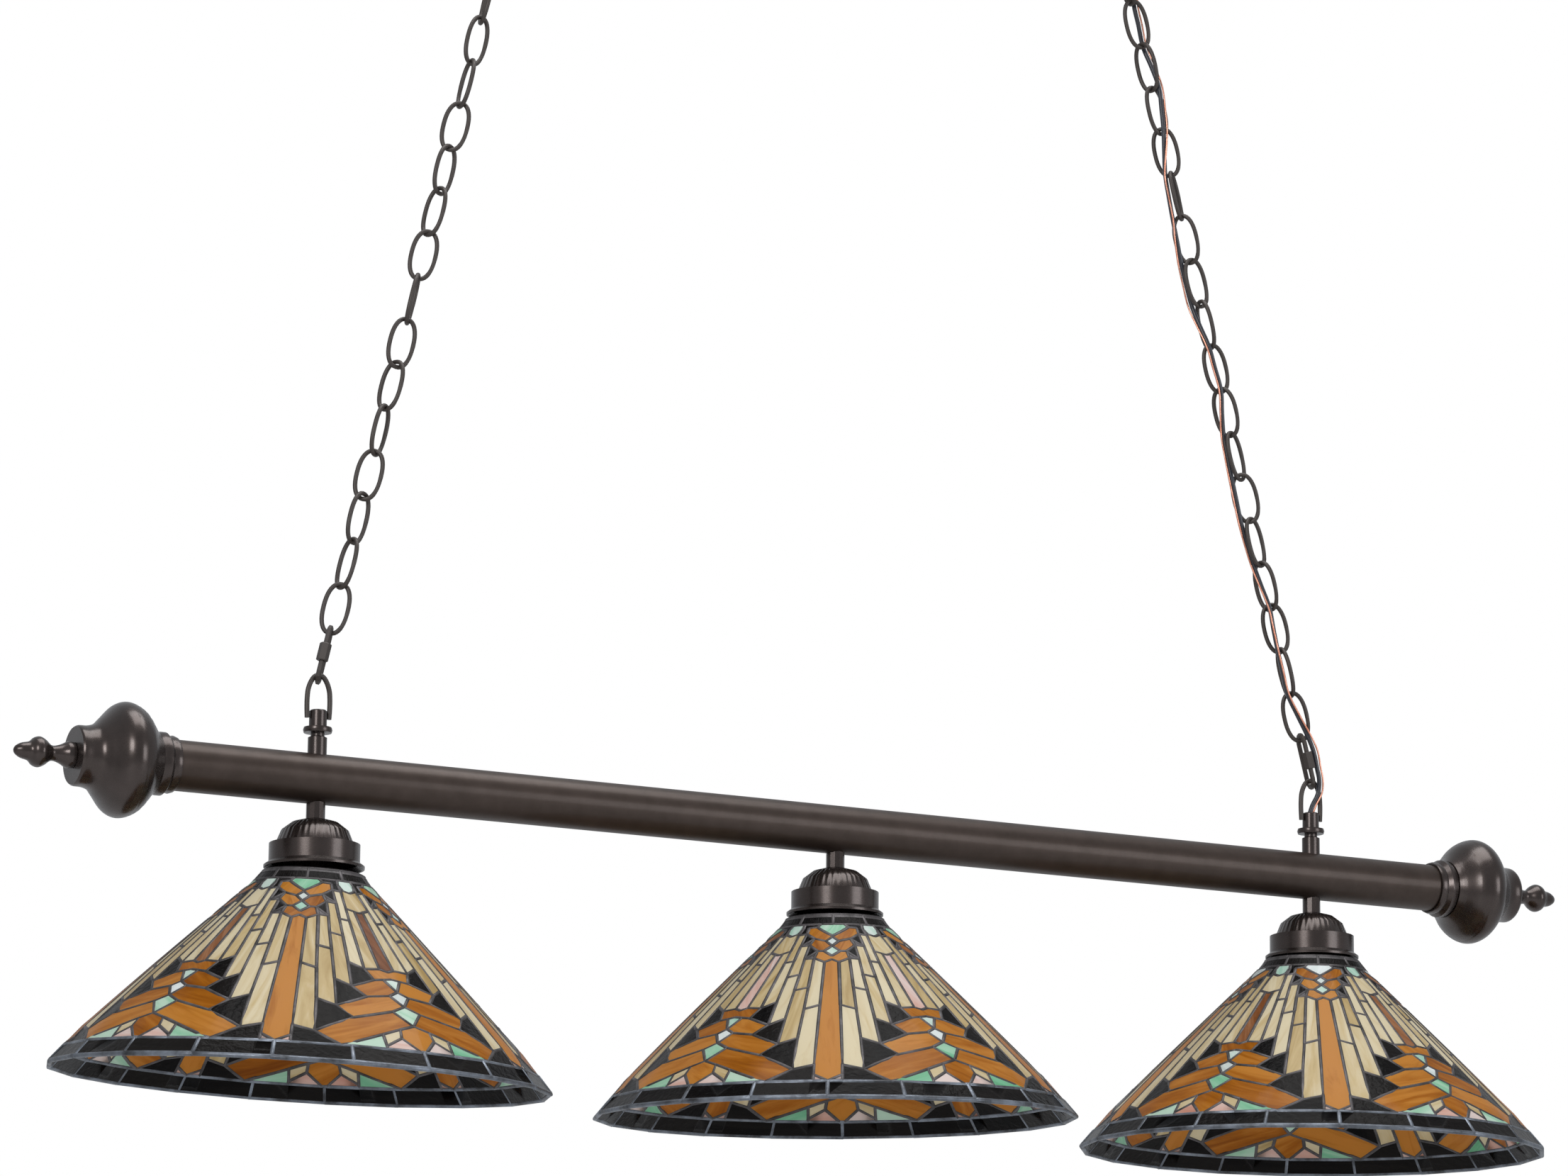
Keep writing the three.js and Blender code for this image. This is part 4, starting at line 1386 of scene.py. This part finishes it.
def white_room() -> None:
    """Makes a white surround, bright to the eye and softer on the lamp, and a floor well below it."""
    world = bpy.data.worlds.new("white_surround")
    world.use_nodes = True
    nodes, links = world.node_tree.nodes, world.node_tree.links
    nodes.clear()
    path = nodes.new("ShaderNodeLightPath")
    path.label = "seen or lighting"
    path.location = (-500, 200)
    seen = nodes.new("ShaderNodeBackground")
    seen.label = "white as seen"
    seen.inputs["Color"].default_value = (1.0, 1.0, 1.0, 1.0)
    seen.inputs["Strength"].default_value = 1.0
    seen.location = (-250, 100)
    lighting = nodes.new("ShaderNodeBackground")
    lighting.label = "white as light"
    lighting.inputs["Color"].default_value = (0.93, 0.96, 1.0, 1.0)
    lighting.inputs["Strength"].default_value = 0.55
    lighting.location = (-250, -60)
    choose = nodes.new("ShaderNodeMixShader")
    choose.label = "seen or lighting"
    choose.location = (0, 60)
    result = nodes.new("ShaderNodeOutputWorld")
    result.label = "surround"
    result.location = (220, 60)
    links.new(path.outputs["Is Camera Ray"], choose.inputs["Fac"])
    links.new(lighting.outputs["Background"], choose.inputs[1])
    links.new(seen.outputs["Background"], choose.inputs[2])
    links.new(choose.outputs["Shader"], result.inputs["Surface"])
    bpy.context.scene.world = world

    mesh = bpy.data.meshes.new("floor")
    mesh.from_pydata([(-6, -7, -1.95), (6, -7, -1.95), (6, 6, -1.95), (-6, 6, -1.95)], [], [(0, 1, 2, 3)])
    floor = add_object("floor", mesh)
    floor.data.materials.append(sheath_material(FLOOR_WHITE))


def camera() -> None:
    """Sets the camera below the lamp and to its left, looking slightly up."""
    data = bpy.data.cameras.new("camera")
    data.lens = 134.32
    data.sensor_width = 36.0
    data.clip_start, data.clip_end = 0.05, 60.0
    yaw, pitch, roll = (math.radians(a) for a in (27.585, 12.016, -0.554))
    forward = Vector((math.sin(yaw) * math.cos(pitch), math.cos(yaw) * math.cos(pitch), math.sin(pitch)))
    right = Vector((math.cos(yaw), -math.sin(yaw), 0))
    down = -right.cross(forward)
    across = right * math.cos(roll) + down * math.sin(roll)
    below = down * math.cos(roll) - right * math.sin(roll)
    eye = add_object("camera", data)
    axes = Matrix((across, -below, -forward)).transposed().to_4x4()
    eye.matrix_world = Matrix.Translation((-2.3075, -4.3181, -1.7078)) @ axes
    bpy.context.scene.camera = eye


def main() -> None:
    """Builds the whole lamp in its frame."""
    logging.basicConfig(level=logging.INFO, format="%(name)s: %(message)s")
    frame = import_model()
    camera()

    left = ChainHanger(Side.LEFT, LEFT_HOOK, 21.454, (
        90, 10, -55, 80, 17, 90, -28, 25, -66, -20, 62, -7, -60, 40, -28, 26, -77, -26))
    right = ChainHanger(Side.RIGHT, RIGHT_HOOK, 21.614, (
        90, -8, -72, 14, -38, 46, -54, 6, 90, -8, -56, 26, -32, 22, -70, -20, 84, -24))
    lead = CordRun("lead_cord_laid", "lead_cord", Slot.CORD, 4.0, 0.834, LEAD_ROUTE)
    lead.build(right, sheath_material(BLACK_SHEATH))
    ground = CordRun("ground_wire_laid", "ground_wire", Slot.COPPER, 1.6, 0.838, GROUND_ROUTE)
    ground.build(right, metal_material(BARE_COPPER))
    left.build()
    right.build()
    Canopy(Side.LEFT, LEFT_HOOK).build()
    Canopy(Side.RIGHT, RIGHT_HOOK, cord_hole=19.0).build()
    BarAssembly().build()
    for side in Side:
        Fitter(side).build()
    LeadedShade(Side.LEFT, -29.0, 3.4, 24.0, Glass.MINT, Glass.TAWNY, 11).build()
    LeadedShade(Side.MIDDLE, -30.0, 2.1, -44.0, Glass.MINT, Glass.PINK, 23).build()
    LeadedShade(Side.RIGHT, -26.0, 0.7, 19.0, Glass.PEARL, Glass.TAWNY, 37).build()

    finish_remaining(frame)
    white_room()
    for light in LIGHTS:
        light.build()
    bpy.context.scene.view_settings.view_transform = "Standard"


if __name__ == "__main__":
    main()
